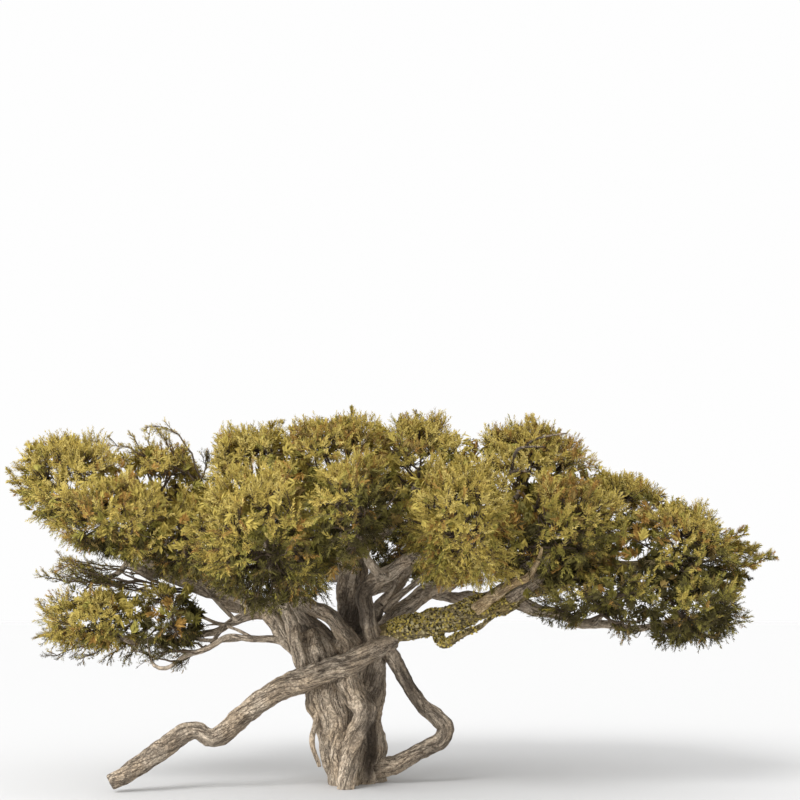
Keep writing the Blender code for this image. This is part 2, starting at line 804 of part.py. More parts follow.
def grow_trunk(tree, stems, loop, lines, carried_by, ends, bark):
    """The stems, the collars and both ends of the loop limb in one, cut flat at the ground, and the loop."""
    near = [*stems.values(), *(lines[name] for name, by in carried_by.items() if by == "trunk")]
    top = collar_end(loop, near)
    foot = len(loop) - 1 - collar_end(loop[::-1], near)
    elbow = point_at(loop, LOOP_ELBOW)
    pieces = [tube(name, run_of(line, 0, len(line) - 1, STEM_STEP), 3) for name, line in stems.items()]
    pieces += collars_on("trunk", lines, carried_by, ends, 2)
    pieces.append(limb_run("loop_top", loop, 0, top, BOUGH_STEP, 2))
    pieces.append(limb_run("loop_foot", loop[::-1], 0, len(loop) - 1 - foot, BOUGH_STEP, 2))
    place_node(tree, "trunk", fuse("trunk", pieces, cut_at_ground=True), bark)
    upper = limb_run("loop_limb_upper", loop, top, elbow, LOOP_STEP, 2, gap_before=True)
    lower = limb_run("loop_limb_lower", loop, elbow, foot, LOOP_STEP, 2, gap_before=True, gap_after=True)
    place_node(tree, "loop_limb_upper", upper, bark)
    place_node(tree, "loop_limb_lower", lower, bark)


def grow_boughs(tree, lines, carried_by, ends, barks):
    """Each bough that is long enough to be its own solid, with the collars of what it carries."""
    for name, line in lines.items():
        first, last = ends[name]
        if first == last:
            continue
        own = name in BOUGHS
        step, level = (BOUGH_STEP, 2) if own else (SIDE_STEP, 1)
        pieces = [limb_run(name, line, first, last, step, level, gap_before=True)]
        pieces += collars_on(name, lines, carried_by, ends, 1)
        mesh = fuse(name, pieces) if len(pieces) > 1 else pieces[0]
        place_node(tree, name, mesh, barks.get(name, barks["trunk"]))


def grow_masses(tree, stems, loop, lines, ends, leaves):
    """Each mass of foliage, clear of the trunk and of every limb but its own stem."""
    for name, line in lines.items():
        mass = mass_of(name)
        if mass:
            entry = ends[name][1]
            others = [other for key, other in lines.items() if key != name]
            limbs = [*others, *stems.values(), loop, line[: entry + 1]]
            place_node(tree, "foliage_" + mass, mass_mesh(mass, line, entry, limbs), leaves)


def grow(tree):
    bark = finish_of("bark", (0.30, 0.25, 0.20), 0.85)
    mossy = finish_of("mossy_bark", (0.30, 0.27, 0.12), 0.9)
    barks = {
        "trunk": bark,
        "mossy_bough": mossy,
        "under_bough": mossy,
        "snag": finish_of("dead_wood", (0.46, 0.37, 0.24), 0.8),
    }
    leaves = finish_of("leaves", (0.24, 0.21, 0.07), 0.65)
    stems = {name: gnarled(trace(way), name) for name, way in TRUNK_STEMS.items()}
    loop = gnarled(trace(LOOP_LIMB), "loop_limb")
    lines, carried_by = limb_lines()
    trunk_lines = [*stems.values(), loop]
    ends = {name: bough_ends(name, lines, carried_by, trunk_lines) for name in lines}
    grow_trunk(tree, stems, loop, lines, carried_by, ends, bark)
    grow_boughs(tree, lines, carried_by, ends, barks)
    grow_masses(tree, stems, loop, lines, ends, leaves)


grow(start_scene())
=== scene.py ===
"""An old olive tree, whole: a trunk of stems grown into one, gnarled boughs, and a flat, wide crown of
narrow leaves on fine twigs. Metres, +Z up, the origin on the flat cut under the trunk."""

import math
import random

import bmesh
import bpy
import numpy as np
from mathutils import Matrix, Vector, noise


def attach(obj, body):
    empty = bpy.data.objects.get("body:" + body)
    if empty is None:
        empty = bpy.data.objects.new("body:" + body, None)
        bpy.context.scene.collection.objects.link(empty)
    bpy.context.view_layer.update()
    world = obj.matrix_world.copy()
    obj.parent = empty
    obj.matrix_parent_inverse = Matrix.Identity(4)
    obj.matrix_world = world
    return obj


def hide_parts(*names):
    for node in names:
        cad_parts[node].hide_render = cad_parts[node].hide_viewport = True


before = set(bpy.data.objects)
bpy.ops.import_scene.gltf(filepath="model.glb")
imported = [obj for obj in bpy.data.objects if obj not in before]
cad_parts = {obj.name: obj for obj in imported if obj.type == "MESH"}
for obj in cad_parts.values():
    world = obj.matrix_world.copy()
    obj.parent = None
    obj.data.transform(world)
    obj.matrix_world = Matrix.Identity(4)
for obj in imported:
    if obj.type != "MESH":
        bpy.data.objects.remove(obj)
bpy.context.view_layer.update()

# The limbs. The trunk is six stems grown into one, each with its own lean. Boughs leave the fork and run
# out to the masses of foliage. A limb is a line of places with a radius at each, smooth and a little
# gnarled, worked out by the same rule as the solids.

GNARL = 0.022  # how far a limb wanders from its smooth line
GNARL_LENGTH = 0.62
GNARL_SPREAD = (0.8, 1.25)  # shares of that length
TRACE_STEP = 0.02  # spacing of the points of a limb's line
HUB_DROP = 0.30  # the foot of a mass's twigs lies this share of its height under its middle
HUB_TAPER = 0.7  # a bough's radius at that foot against its last radius before it
SIDE_SAG = 0.13  # how low a side bough swings before it turns up, as a share of its length
SIDE_LOW = 0.40  # where along its length it swings lowest
SIDE_LATE = 0.75  # and where it is on its way up
SIDE_LATE_SAG = 0.8  # its sag there against its lowest
SIDE_SLIM = 0.95  # its radius at its lowest against that at its foot
SIDE_TAPER = 0.62  # and at its tip

# The stems that make the trunk, each from below the ground to the fork: x, y, z and radius along it.
TRUNK_STEMS = {
    "left": [
        (-0.13, -0.05, -0.10, 0.20), (-0.20, -0.10, 0.42, 0.22), (-0.31, -0.12, 0.93, 0.26),
        (-0.45, -0.10, 1.41, 0.27), (-0.60, -0.04, 1.76, 0.17),
    ],
    "front": [
        (-0.11, -0.46, -0.10, 0.11), (-0.08, -0.45, 0.32, 0.115), (0.06, -0.42, 0.66, 0.14),
        (0.09, -0.38, 0.88, 0.15), (-0.05, -0.34, 1.15, 0.16), (-0.22, -0.22, 1.42, 0.17),
    ],
    "right": [
        (0.20, 0.30, -0.10, 0.18), (0.18, 0.10, 0.50, 0.165), (0.14, 0.06, 0.98, 0.19),
        (0.17, 0.02, 1.40, 0.21), (0.24, 0.02, 1.70, 0.17),
    ],
    "middle": [
        (0.01, 0.18, -0.10, 0.28), (-0.02, 0.18, 0.60, 0.27), (-0.08, 0.16, 1.15, 0.31),
        (-0.12, 0.14, 1.55, 0.33), (-0.06, 0.16, 1.86, 0.22),
    ],
    "rear_left": [
        (-0.17, 0.46, -0.10, 0.18), (-0.20, 0.38, 0.50, 0.15), (-0.36, 0.24, 1.05, 0.19),
        (-0.38, 0.12, 1.50, 0.22),
    ],
    "rear_right": [
        (0.15, 0.64, -0.10, 0.17), (0.14, 0.46, 0.45, 0.14), (0.14, 0.34, 0.95, 0.17),
        (0.02, 0.26, 1.45, 0.22),
    ],
}

# The loop limb leaves the fork, hangs out to an elbow and grows back into the trunk's foot.
LOOP_LIMB = [
    (0.28, -0.06, 1.64, 0.12), (0.46, -0.16, 1.46, 0.10), (0.56, -0.20, 1.27, 0.09),
    (0.64, -0.20, 1.10, 0.088), (0.78, -0.18, 0.93, 0.09), (0.95, -0.15, 0.80, 0.10),
    (1.06, -0.12, 0.68, 0.10), (1.00, -0.11, 0.56, 0.10), (0.83, -0.10, 0.43, 0.10),
    (0.62, -0.06, 0.31, 0.105), (0.42, 0.02, 0.21, 0.115), (0.20, 0.14, 0.16, 0.13),
]

# Boughs with a line of their own: the mass that each runs into, and its way.
BOUGHS = {
    "low_limb": (None, [
        (0.44, -0.14, 1.70, 0.115), (-0.05, -0.40, 1.45, 0.142), (-0.64, -0.50, 1.24, 0.15),
        (-1.08, -0.54, 1.02, 0.125), (-1.46, -0.61, 0.70, 0.125), (-1.63, -0.63, 0.62, 0.11),
        (-1.83, -0.64, 0.67, 0.095), (-2.03, -0.67, 0.61, 0.115), (-2.45, -0.75, 0.30, 0.12),
        (-2.78, -0.78, 0.115, 0.095),
    ]),
    "rootlet": (None, [
        (-0.32, -0.16, 1.00, 0.05), (-0.47, -0.34, 0.82, 0.04), (-0.49, -0.38, 0.52, 0.036),
        (-0.42, -0.37, 0.24, 0.024),
    ]),
    "mossy_bough": ("right_far", [
        (0.22, -0.06, 1.64, 0.15), (0.52, -0.17, 1.82, 0.135), (0.99, -0.30, 1.92, 0.155),
        (1.57, -0.40, 2.10, 0.15), (2.10, -0.42, 2.30, 0.11), (2.72, -0.22, 2.50, 0.08),
    ]),
    "elbow_bough": ("right_front", [
        (0.24, -0.06, 1.62, 0.12), (0.13, -0.32, 2.00, 0.10), (0.10, -0.40, 2.26, 0.105),
        (0.34, -0.56, 2.46, 0.10), (0.66, -0.90, 2.66, 0.08),
    ]),
    "rear_right_bough": ("top_right", [
        (0.22, 0.10, 1.62, 0.13), (0.58, 0.30, 2.08, 0.11), (0.98, 0.42, 2.30, 0.105),
        (1.40, 0.38, 2.62, 0.085), (1.74, 0.18, 3.16, 0.07),
    ]),
    "rear_bough": ("top_centre", [
        (-0.06, 0.16, 1.70, 0.20), (-0.07, 0.26, 2.10, 0.17), (-0.12, 0.20, 2.60, 0.13),
        (-0.20, -0.05, 3.15, 0.09),
    ]),
    "inner_left_bough": ("top_left", [
        (-0.02, -0.10, 1.62, 0.12), (-0.27, -0.24, 1.92, 0.10), (-0.54, -0.28, 2.12, 0.10),
        (-0.86, -0.26, 2.40, 0.085), (-1.10, -0.12, 2.95, 0.065),
    ]),
    "outer_left_bough": ("centre_left_front", [
        (-0.60, -0.24, 1.30, 0.11), (-0.69, -0.34, 1.63, 0.085), (-0.77, -0.42, 1.92, 0.08),
        (-0.84, -0.78, 2.20, 0.07),
    ]),
    "left_bough": ("left_far", [
        (-0.55, 0.02, 1.62, 0.15), (-0.90, 0.02, 1.98, 0.11), (-1.45, 0.12, 2.20, 0.09),
        (-2.15, 0.16, 2.38, 0.07), (-2.80, 0.10, 2.88, 0.055),
    ]),
    "thin_left_bough": (None, [
        (-0.55, -0.06, 1.60, 0.075), (-0.95, -0.16, 1.69, 0.05), (-1.28, -0.20, 1.73, 0.042),
        (-1.60, -0.30, 1.69, 0.036), (-1.94, -0.36, 1.53, 0.032), (-2.20, -0.40, 1.39, 0.027),
        (-2.36, -0.41, 1.44, 0.021), (-2.44, -0.40, 1.72, 0.012),
    ]),
    "drooping_bough": ("right_far_low", [
        (1.82, -0.41, 2.18, 0.09), (2.19, -0.36, 2.04, 0.075), (2.65, -0.20, 1.92, 0.062),
        (3.19, -0.18, 1.84, 0.05),
    ]),
    "snag": (None, [
        (1.34, -0.36, 2.00, 0.09), (1.62, -0.70, 2.24, 0.062), (1.92, -1.10, 2.42, 0.048),
        (2.04, -1.32, 2.56, 0.036), (2.10, -1.46, 2.78, 0.012),
    ]),
    "under_bough": (None, [
        (0.92, -0.30, 1.84, 0.075), (1.06, -0.46, 1.66, 0.055), (1.36, -0.60, 1.84, 0.038),
        (1.66, -0.72, 2.02, 0.018),
    ]),
}

# Side boughs that a rule draws, by the mass each runs into: the bough that carries it, how far along
# that one it leaves, and its radius.
SIDE_BOUGHS = {
    "left_front": ("left_bough", 0.60, 0.06),
    "left_mid": ("left_bough", 0.52, 0.06),
    "left_inner": ("left_bough", 0.34, 0.055),
    "left_twigs": ("left_bough", 0.72, 0.035),
    "low_left": ("left_bough", 0.22, 0.05),
    "low_left_inner": ("thin_left_bough", 0.34, 0.026),
    "top_right_centre": ("rear_bough", 0.50, 0.085),
    "centre_front": ("elbow_bough", 0.46, 0.06),
    "right_mid": ("mossy_bough", 0.40, 0.085),
    "right_upper": ("rear_right_bough", 0.56, 0.06),
    "right_low": ("drooping_bough", 0.36, 0.045),
    "back_left": ("left_bough", 0.16, 0.075),
    "back_centre_left": ("rear_bough", 0.40, 0.09),
    "back_centre_right": ("rear_bough", 0.30, 0.085),
    "back_right": ("rear_right_bough", 0.34, 0.075),
}

# Masses of foliage: the middle and the radii of the space that each keeps to.
MASSES = {
    "left_far": ((-3.36, 0.05, 3.55), (0.82, 1.05, 0.62)),
    "left_front": ((-2.72, -0.95, 3.05), (0.84, 0.86, 0.56)),
    "left_mid": ((-2.46, 0.50, 3.60), (0.72, 1.05, 0.64)),
    "left_inner": ((-1.88, -0.45, 2.88), (0.84, 0.86, 0.58)),
    "centre_left_front": ((-0.94, -1.50, 2.94), (0.92, 1.05, 0.80)),
    "top_left": ((-1.20, 0.00, 3.70), (0.86, 1.15, 0.68)),
    "top_centre": ((-0.26, -0.30, 3.80), (0.86, 1.15, 0.66)),
    "top_right_centre": ((0.74, 0.15, 3.76), (0.90, 1.15, 0.68)),
    "centre_front": ((0.06, -1.80, 3.18), (0.76, 0.90, 0.68)),
    "right_front": ((1.14, -1.54, 3.10), (0.90, 1.02, 0.70)),
    "top_right": ((1.98, 0.10, 3.68), (0.98, 1.12, 0.68)),
    "right_mid": ((2.32, -0.78, 2.98), (0.92, 1.00, 0.72)),
    "right_upper": ((3.04, 0.45, 3.26), (0.92, 1.02, 0.58)),
    "right_far": ((3.80, -0.20, 2.80), (0.90, 1.02, 0.66)),
    "right_far_low": ((3.88, -0.60, 2.08), (0.74, 0.80, 0.54)),
    "right_low": ((2.84, -0.80, 2.18), (0.88, 0.82, 0.56)),
    "low_left": ((-3.08, 0.00, 1.94), (0.82, 0.84, 0.44)),
    "low_left_inner": ((-2.06, -0.20, 1.98), (0.82, 0.74, 0.48)),
    "left_twigs": ((-3.24, 0.50, 2.46), (0.72, 0.66, 0.26)),
    "back_left": ((-2.20, 1.55, 2.98), (1.05, 1.10, 0.76)),
    "back_centre_left": ((-0.76, 1.62, 3.12), (1.00, 1.15, 0.88)),
    "back_centre_right": ((0.84, 1.72, 3.10), (1.02, 1.15, 0.88)),
    "back_right": ((2.40, 1.52, 2.92), (1.05, 1.10, 0.78)),
}


def trace(way):
    """Points (x, y, z, radius) about TRACE_STEP apart on a smooth line through the points of the way."""
    knots = np.array([way[0], *way, way[-1]], float)
    line = []
    for before, start, end, after in zip(knots, knots[1:], knots[2:], knots[3:]):
        steps = max(2, round(np.linalg.norm(end[:3] - start[:3]) / TRACE_STEP))
        t = np.linspace(0, 1, steps, endpoint=False)[:, None]
        line.append(
            start
            + (end - before) * t / 2
            + (2 * before - 5 * start + 4 * end - after) * t**2 / 2
            + (3 * start - before - 3 * end + after) * t**3 / 2
        )
    return np.vstack([*line, knots[-1]])


def lengths_along(line):
    """Distance from the line's start to each of its points."""
    return np.concatenate([[0], np.cumsum(np.linalg.norm(np.diff(line[:, :3], axis=0), axis=1))])


def gnarled(line, name):
    """The line with slow wanders to its sides, none at its two ends."""
    draw = random.Random(name)
    along = lengths_along(line)
    fade = np.sin(np.pi * along / along[-1])
    bent = line.copy()
    for axis in range(3):
        phase = draw.uniform(0, 2 * math.pi)
        pitch = GNARL_LENGTH * draw.uniform(*GNARL_SPREAD)
        bent[:, axis] += GNARL * fade * np.sin(2 * math.pi * along / pitch + phase)
    return bent


def hub_of(mass):
    """Where the twigs of a mass spring from, at the end of its stem."""
    (x, y, z), radii = MASSES[mass]
    return (x, y, z - HUB_DROP * radii[2])


def side_way(parent_line, share, hub, radius):
    """Way of a side bough: out of its parent, low at first, then up into the mass."""
    along = lengths_along(parent_line)
    foot = parent_line[int(np.searchsorted(along, share * along[-1]))][:3]
    run = np.array(hub) - foot
    length = np.linalg.norm(run)
    low = foot + run * SIDE_LOW - np.array([0, 0, SIDE_SAG * length])
    late = foot + run * SIDE_LATE - np.array([0, 0, SIDE_SAG * length * SIDE_LATE_SAG])
    radii = [radius, radius * SIDE_SLIM, radius * (0.5 + SIDE_TAPER / 2), radius * SIDE_TAPER]
    return [(*place, size) for place, size in zip((foot, low, late, hub), radii)]


stem_lines = {name: gnarled(trace(way), name) for name, way in TRUNK_STEMS.items()}
loop_line = gnarled(trace(LOOP_LIMB), "loop_limb")
bough_lines = {}
for name, (mass, way) in BOUGHS.items():
    if mass:
        way = [*way, (*hub_of(mass), way[-1][3] * HUB_TAPER)]
    bough_lines[name] = gnarled(trace(way), name)
for mass, (parent, share, radius) in SIDE_BOUGHS.items():
    name = "bough_" + mass
    bough_lines[name] = gnarled(trace(side_way(bough_lines[parent], share, hub_of(mass), radius)), name)

# The bark. Each thick limb is a bundle of ropy strands that wind round its line, as old olive wood
# grows. The strands of limbs that have grown together share one skin, smoothed, cut flat at the ground,
# then raised into plates. Fissures, grain and grey, ochre and dark tints are in the finish, with painted
# shade in the creases between strands and over the recess and the places under the crown.

SKIN_STEP = 0.0135  # spacing of the skin's points
UPPER_STEP = 0.021  # on the upper boughs, which the leaves hide
UPPER_FROM = 2.42  # the height at which a bough's skin becomes the coarser one
LEAST_POINTS = 8  # a part of a bough with fewer points gets no skin of its own
OVERLAP = 6  # points by which the coarser skin reaches down into the finer one
STRAND_COUNTS = ((0.15, 6), (0.09, 5), (0, 4))  # a limb of more than the first radius has the second number
STRAND_WIND = 1.3  # radians that the strands wind in a metre
STRAND_SWING = (0.15, 0.35)  # radians that a strand strays from even winding
SWING_PITCH = (2.5, 5)  # radians of the swing in a metre
STRAND_SWELL = 0.13  # how much thicker and thinner a strand runs along its length
SWELL_PITCH = (4, 8)
STRAND_OUT = 0.60  # how far a strand's middle lies from the limb's line, as a share of the radius
STRAND_REACH = 1.03  # no strand stands out further than this many radii
STRAND_SIZE = 0.40
STRAND_SPREAD = (0.88, 1.08)  # shares of that size
CORE_SIZE = 0.90
ANY_TURN = (0, 6.3)  # radians, just over a full turn
ROPY_LIMB = 0.045  # a limb thinner than this is a single round strand
GRAIN_STRETCH = 0.17  # the grain is this much finer across a limb than along it
GRAIN_APART = 3.7  # so that no two limbs show the same grain
PLATE_PITCH = 21
PLATE_RELIEF = 0.007
SEAM_WIDTH = 0.22  # of the seams between plates, in the noise that draws them
SEAM_DEPTH = 3.2
BURLS = ((6.5, 0.018), (15.0, 0.010))  # how many to a metre, and how high
FULL_RELIEF = 0.14  # radius of a limb from which plates and burls stand full
LEAST_RELIEF = 0.25  # on the thinnest limb
GROUND_FADE = 0.03  # the height over which they sink into the cut at the ground
CHUNK = 4000  # places that are looked up at once, to spare memory
BARK_HOLLOWS_AND_SHADE = (  # middle, radii, how deep it is sunk, and how much painted shade it gets (below nought, less)
    ((0.17, -0.25, 0.46), (0.07, 0.30, 0.44), 0.10, 0.90),
    ((-0.41, -0.34, 1.44), (0.045, 0.16, 0.09), 0.06, 0.50),
    ((-0.14, -0.44, 1.02), (0.045, 0.16, 0.12), 0.03, 0.20),
    ((0.22, -0.30, 1.22), (0.10, 0.20, 0.16), 0.05, 0.50),
    ((0.62, -0.18, 1.25), (0.24, 0.30, 0.42), 0.00, 0.30),
    ((0.85, -0.15, 0.60), (0.60, 0.40, 0.60), 0.00, 0.17),
    ((-2.40, -0.75, 0.30), (0.90, 0.40, 0.50), 0.00, 0.16),
    ((-1.40, -0.70, 0.95), (0.70, 0.35, 0.45), 0.00, 0.07),
    ((-0.35, -0.62, 1.30), (0.45, 0.35, 0.24), 0.00, 0.11),
    ((0.00, -0.55, 0.40), (0.12, 0.25, 0.60), 0.00, 0.10),
    ((-0.36, -0.40, 0.50), (0.16, 0.34, 0.55), 0.00, -0.24),
    ((0.10, -0.35, 2.16), (0.22, 0.40, 0.38), 0.00, 0.34),
    ((-0.15, 0.10, 2.00), (0.60, 0.35, 0.40), 0.00, 0.26),
    ((2.10, -0.75, 3.80), (0.60, 0.50, 0.50), 0.00, 0.45),
)
INNER_LIMBS = [  # limbs half hidden behind the fork, which run up into the crown
    [
        (0.10, 0.24, 1.68, 0.13), (0.25, 0.34, 2.05, 0.085), (0.50, 0.42, 2.33, 0.07),
        (0.72, 0.46, 2.70, 0.06),
    ],
    [
        (-0.20, 0.04, 1.58, 0.12), (-0.50, -0.04, 1.84, 0.10), (-0.74, -0.06, 2.10, 0.085),
        (-0.94, -0.10, 2.50, 0.06),
    ],
    [
        (-0.50, -0.06, 1.44, 0.12), (-0.80, -0.12, 1.68, 0.11), (-0.96, -0.10, 1.90, 0.10),
        (-1.18, -0.05, 2.12, 0.07),
    ],
    [
        (0.04, 0.26, 1.80, 0.10), (0.03, 0.38, 2.20, 0.085), (0.06, 0.46, 2.50, 0.07),
        (0.04, 0.55, 2.80, 0.05),
    ],
]
MOSSY_LIMBS = ("mossy_bough", "under_bough")
FINE_LIMBS = ("rootlet", "thin_left_bough", "bough_low_left_inner", "bough_left_twigs")


def sides_along(line):
    """Two directions square to the limb at each of its points, carried along it without turning."""
    ahead = np.gradient(line[:, :3], axis=0)
    ahead /= np.linalg.norm(ahead, axis=1)[:, None]
    side = np.cross(ahead[0], (0.31, 0.17, 0.93))
    sides = []
    for way in ahead:
        side = side - way * (side @ way)
        side /= np.linalg.norm(side)
        sides.append(side)
    sides = np.array(sides)
    return sides, np.cross(ahead, sides)


def wave(along, pitch, draw):
    """A slow wave along a limb, its pitch drawn from a range, with any phase."""
    return np.sin(along * draw.uniform(*pitch) + draw.uniform(*ANY_TURN))


def strands_of(line, draw):
    """The limb's core and the strands that wind round it, each as its own line. A thin limb has one."""
    thick = line[:, 3].max()
    if thick < ROPY_LIMB:
        return [line]
    side, other = sides_along(line)
    along = lengths_along(line)
    count = next(number for least, number in STRAND_COUNTS if thick > least)
    core = line.copy()
    core[:, 3] *= CORE_SIZE
    strands = [core]
    for k in range(count):
        swing = draw.uniform(*STRAND_SWING) * wave(along, SWING_PITCH, draw)
        turn = 2 * math.pi * k / count + draw.uniform(-0.25, 0.25) + STRAND_WIND * along + swing
        swell = 1 + STRAND_SWELL * wave(along, SWELL_PITCH, draw)
        size = line[:, 3] * STRAND_SIZE * draw.uniform(*STRAND_SPREAD) * swell
        out = np.minimum(line[:, 3] * STRAND_OUT, STRAND_REACH * line[:, 3] - size)[:, None]
        strand = line.copy()
        strand[:, :3] += out * (side * np.cos(turn)[:, None] + other * np.sin(turn)[:, None])
        strand[:, 3] = size
        strands.append(strand)
    return strands


def tubes_mesh(name, lines):
    """Closed round tubes along the lines, in one mesh: curves with caps, made a mesh and welded."""
    curve = bpy.data.curves.new(name, "CURVE")
    curve.dimensions = "3D"
    curve.bevel_depth = 1.0
    curve.bevel_resolution = 2
    curve.use_fill_caps = True
    for line in lines:
        picked = line[np.unique([*range(0, len(line) - 1, 3), len(line) - 1])]
        spline = curve.splines.new("POLY")
        spline.points.add(len(picked) - 1)
        spline.points.foreach_set("co", np.column_stack([picked[:, :3], np.ones(len(picked))]).ravel())
        spline.points.foreach_set("radius", picked[:, 3])
    guide = bpy.data.objects.new(name, curve)
    bpy.context.scene.collection.objects.link(guide)
    graph = bpy.context.evaluated_depsgraph_get()
    mesh = bpy.data.meshes.new_from_object(guide.evaluated_get(graph))
    bpy.data.objects.remove(guide)
    form = bmesh.new()
    form.from_mesh(mesh)
    bmesh.ops.remove_doubles(form, verts=form.verts, dist=1e-5)
    bmesh.ops.recalc_face_normals(form, faces=form.faces)
    form.to_mesh(mesh)
    form.free()
    return mesh


def grown_skin(name, lines, step):
    """One closed skin round every strand, its creases softened, cut flat where it meets the ground."""
    draw = random.Random(name)
    strands = [strand for line in lines for strand in strands_of(line, draw)]
    body = bpy.data.objects.new(name, tubes_mesh(name, strands))
    bpy.context.scene.collection.objects.link(body)
    skin = body.modifiers.new("skin", "REMESH")
    skin.mode = "VOXEL"
    skin.voxel_size = step
    soft = body.modifiers.new("soft", "SMOOTH")
    soft.factor = 0.5
    soft.iterations = 2
    graph = bpy.context.evaluated_depsgraph_get()
    mesh = bpy.data.meshes.new_from_object(body.evaluated_get(graph))
    bpy.data.objects.remove(body)
    form = bmesh.new()
    form.from_mesh(mesh)
    if min(vert.co.z for vert in form.verts) < 0:
        everything = [*form.verts, *form.edges, *form.faces]
        bmesh.ops.bisect_plane(
            form, geom=everything, plane_co=(0, 0, 0), plane_no=(0, 0, -1), clear_outer=True
        )
        bmesh.ops.holes_fill(form, edges=[edge for edge in form.edges if edge.is_boundary])
        bmesh.ops.triangulate(form, faces=[face for face in form.faces if len(face.verts) > 4])
        bmesh.ops.recalc_face_normals(form, faces=form.faces)
    form.to_mesh(mesh)
    form.free()
    return mesh


def grain_places(places, lines):
    """Each place in the grain of the limb it lies on, how deep it lies, and the limb's radius there."""
    knots = np.vstack(lines)
    frames = [sides_along(line) for line in lines]
    side = np.vstack([pair[0] for pair in frames])
    other = np.vstack([pair[1] for pair in frames])
    along = np.concatenate([lengths_along(line) for line in lines])
    number = np.concatenate([np.full(len(line), k) for k, line in enumerate(lines)])
    nearest = np.empty(len(places), int)
    for start in range(0, len(places), CHUNK):
        part = places[start : start + CHUNK]
        square = (part**2).sum(axis=1)[:, None] + (knots[:, :3] ** 2).sum(axis=1) - 2 * part @ knots[:, :3].T
        nearest[start : start + CHUNK] = (np.sqrt(np.maximum(square, 0)) - knots[:, 3]).argmin(axis=1)
    out = places - knots[nearest, :3]
    across = (out * side[nearest]).sum(axis=1)
    over = (out * other[nearest]).sum(axis=1)
    turn = STRAND_WIND * along[nearest]
    grain = np.column_stack(
        [
            across * np.cos(turn) + over * np.sin(turn),
            over * np.cos(turn) - across * np.sin(turn),
            along[nearest] * GRAIN_STRETCH + GRAIN_APART * number[nearest],
        ]
    )
    depth = 1 - np.linalg.norm(out, axis=1) / knots[nearest, 3]
    return grain, depth, knots[nearest, 3]


def ripples(places):
    """Smooth noise at each place, up to about 1 to either side of nought."""
    return np.array([noise.noise(Vector(place)) for place in places])


def bell(places, middle, radii):
    """1 at the middle, and next to nothing some two radii out."""
    return np.exp(-(((places - middle) / np.array(radii)) ** 2).sum(axis=1))


def raise_bark(mesh, lines):
    """Moves the skin in and out into plates and burls, and stores the grain and the depth, with painted
    shade, for the finish.
    """
    count = len(mesh.vertices)
    places = np.empty(count * 3)
    mesh.vertices.foreach_get("co", places)
    places = places.reshape(-1, 3)
    normals = np.empty(count * 3)
    mesh.vertex_normals.foreach_get("vector", normals)
    normals = normals.reshape(-1, 3)
    grain, depth, radius = grain_places(places, lines)
    seams = np.maximum(0, SEAM_WIDTH - np.abs(ripples(grain * PLATE_PITCH)))
    lift = PLATE_RELIEF * (1 - SEAM_DEPTH * seams)
    for pitch, height in BURLS:
        lift += height * ripples(places * pitch)
    lift *= np.clip(radius / FULL_RELIEF, LEAST_RELIEF, 1.0)
    # painted shade: each place is sunk, and its depth raised so that the finish paints it darker
    for middle, radii, sunk, painted_shade in BARK_HOLLOWS_AND_SHADE:
        near = bell(places, middle, radii)
        lift -= sunk * near
        depth += painted_shade * near
    lift *= np.clip(places[:, 2] / GROUND_FADE, 0, 1)
    mesh.vertices.foreach_set("co", (places + normals * lift[:, None]).ravel())
    mesh.attributes.new("grain", "FLOAT_VECTOR", "POINT").data.foreach_set("vector", grain.ravel())
    # the depth attribute carries painted shade: the finish paints the skin darker where it is higher
    mesh.attributes.new("depth", "FLOAT", "POINT").data.foreach_set("value", depth)
    mesh.update()
    return mesh


class Shade:
    """One value of a finish's nodes, worked on with plain arithmetic."""

    def __init__(self, tree, socket=None):
        self.tree = tree
        self.socket = socket

    def node(self, kind, settings=(), inputs=(), output=0):
        """Adds a node with its settings, then its sockets' values or links, and gives one output."""
        added = self.tree.nodes.new(kind)
        for name, value in dict(settings).items():
            setattr(added, name, value)
        for name, value in dict(inputs).items():
            if isinstance(value, Shade):
                self.tree.links.new(value.socket, added.inputs[name])
            else:
                added.inputs[name].default_value = value
        return Shade(self.tree, added.outputs[output])

    def maths(self, operation, *values):
        return self.node("ShaderNodeMath", {"operation": operation}, dict(enumerate(values)))

    def __add__(self, other):
        return self.maths("ADD", self, other)

    def __sub__(self, other):
        return self.maths("SUBTRACT", self, other)

    def __mul__(self, other):
        return self.maths("MULTIPLY", self, other)

    def __rsub__(self, other):
        return self.maths("SUBTRACT", other, self)

    __radd__ = __add__
    __rmul__ = __mul__

    def size(self):
        return self.maths("ABSOLUTE", self)

    def between(self, low, high):
        """0 below low, 1 above high, and smooth between."""
        settings = {"interpolation_type": "SMOOTHSTEP"}
        return self.node("ShaderNodeMapRange", settings, {0: self, 1: low, 2: high})

    def cloud(self, scale, detail, roughness):
        """Noise on this vector, from 0 to 1."""
        inputs = {"Vector": self, "Scale": scale, "Detail": detail, "Roughness": roughness}
        return self.node("ShaderNodeTexNoise", {}, inputs)

    def tint(self, first, second):
        """The first colour where this value is 0, the second where it is 1."""
        settings = {"data_type": "RGBA"}
        inputs = {0: self}
        for place, colour in ((6, first), (7, second)):
            inputs[place] = colour if isinstance(colour, Shade) else (*colour, 1)
        return self.node("ShaderNodeMix", settings, inputs, 2)


def new_finish(name, roughness):
    """An empty finish: its material, its shader and a Shade to make nodes with."""
    material = bpy.data.materials.new(name)
    material.use_nodes = True
    shader = material.node_tree.nodes["Principled BSDF"]
    shader.inputs["Roughness"].default_value = roughness
    shader.inputs["Specular IOR Level"].default_value = 0.25
    return material, shader, Shade(material.node_tree)


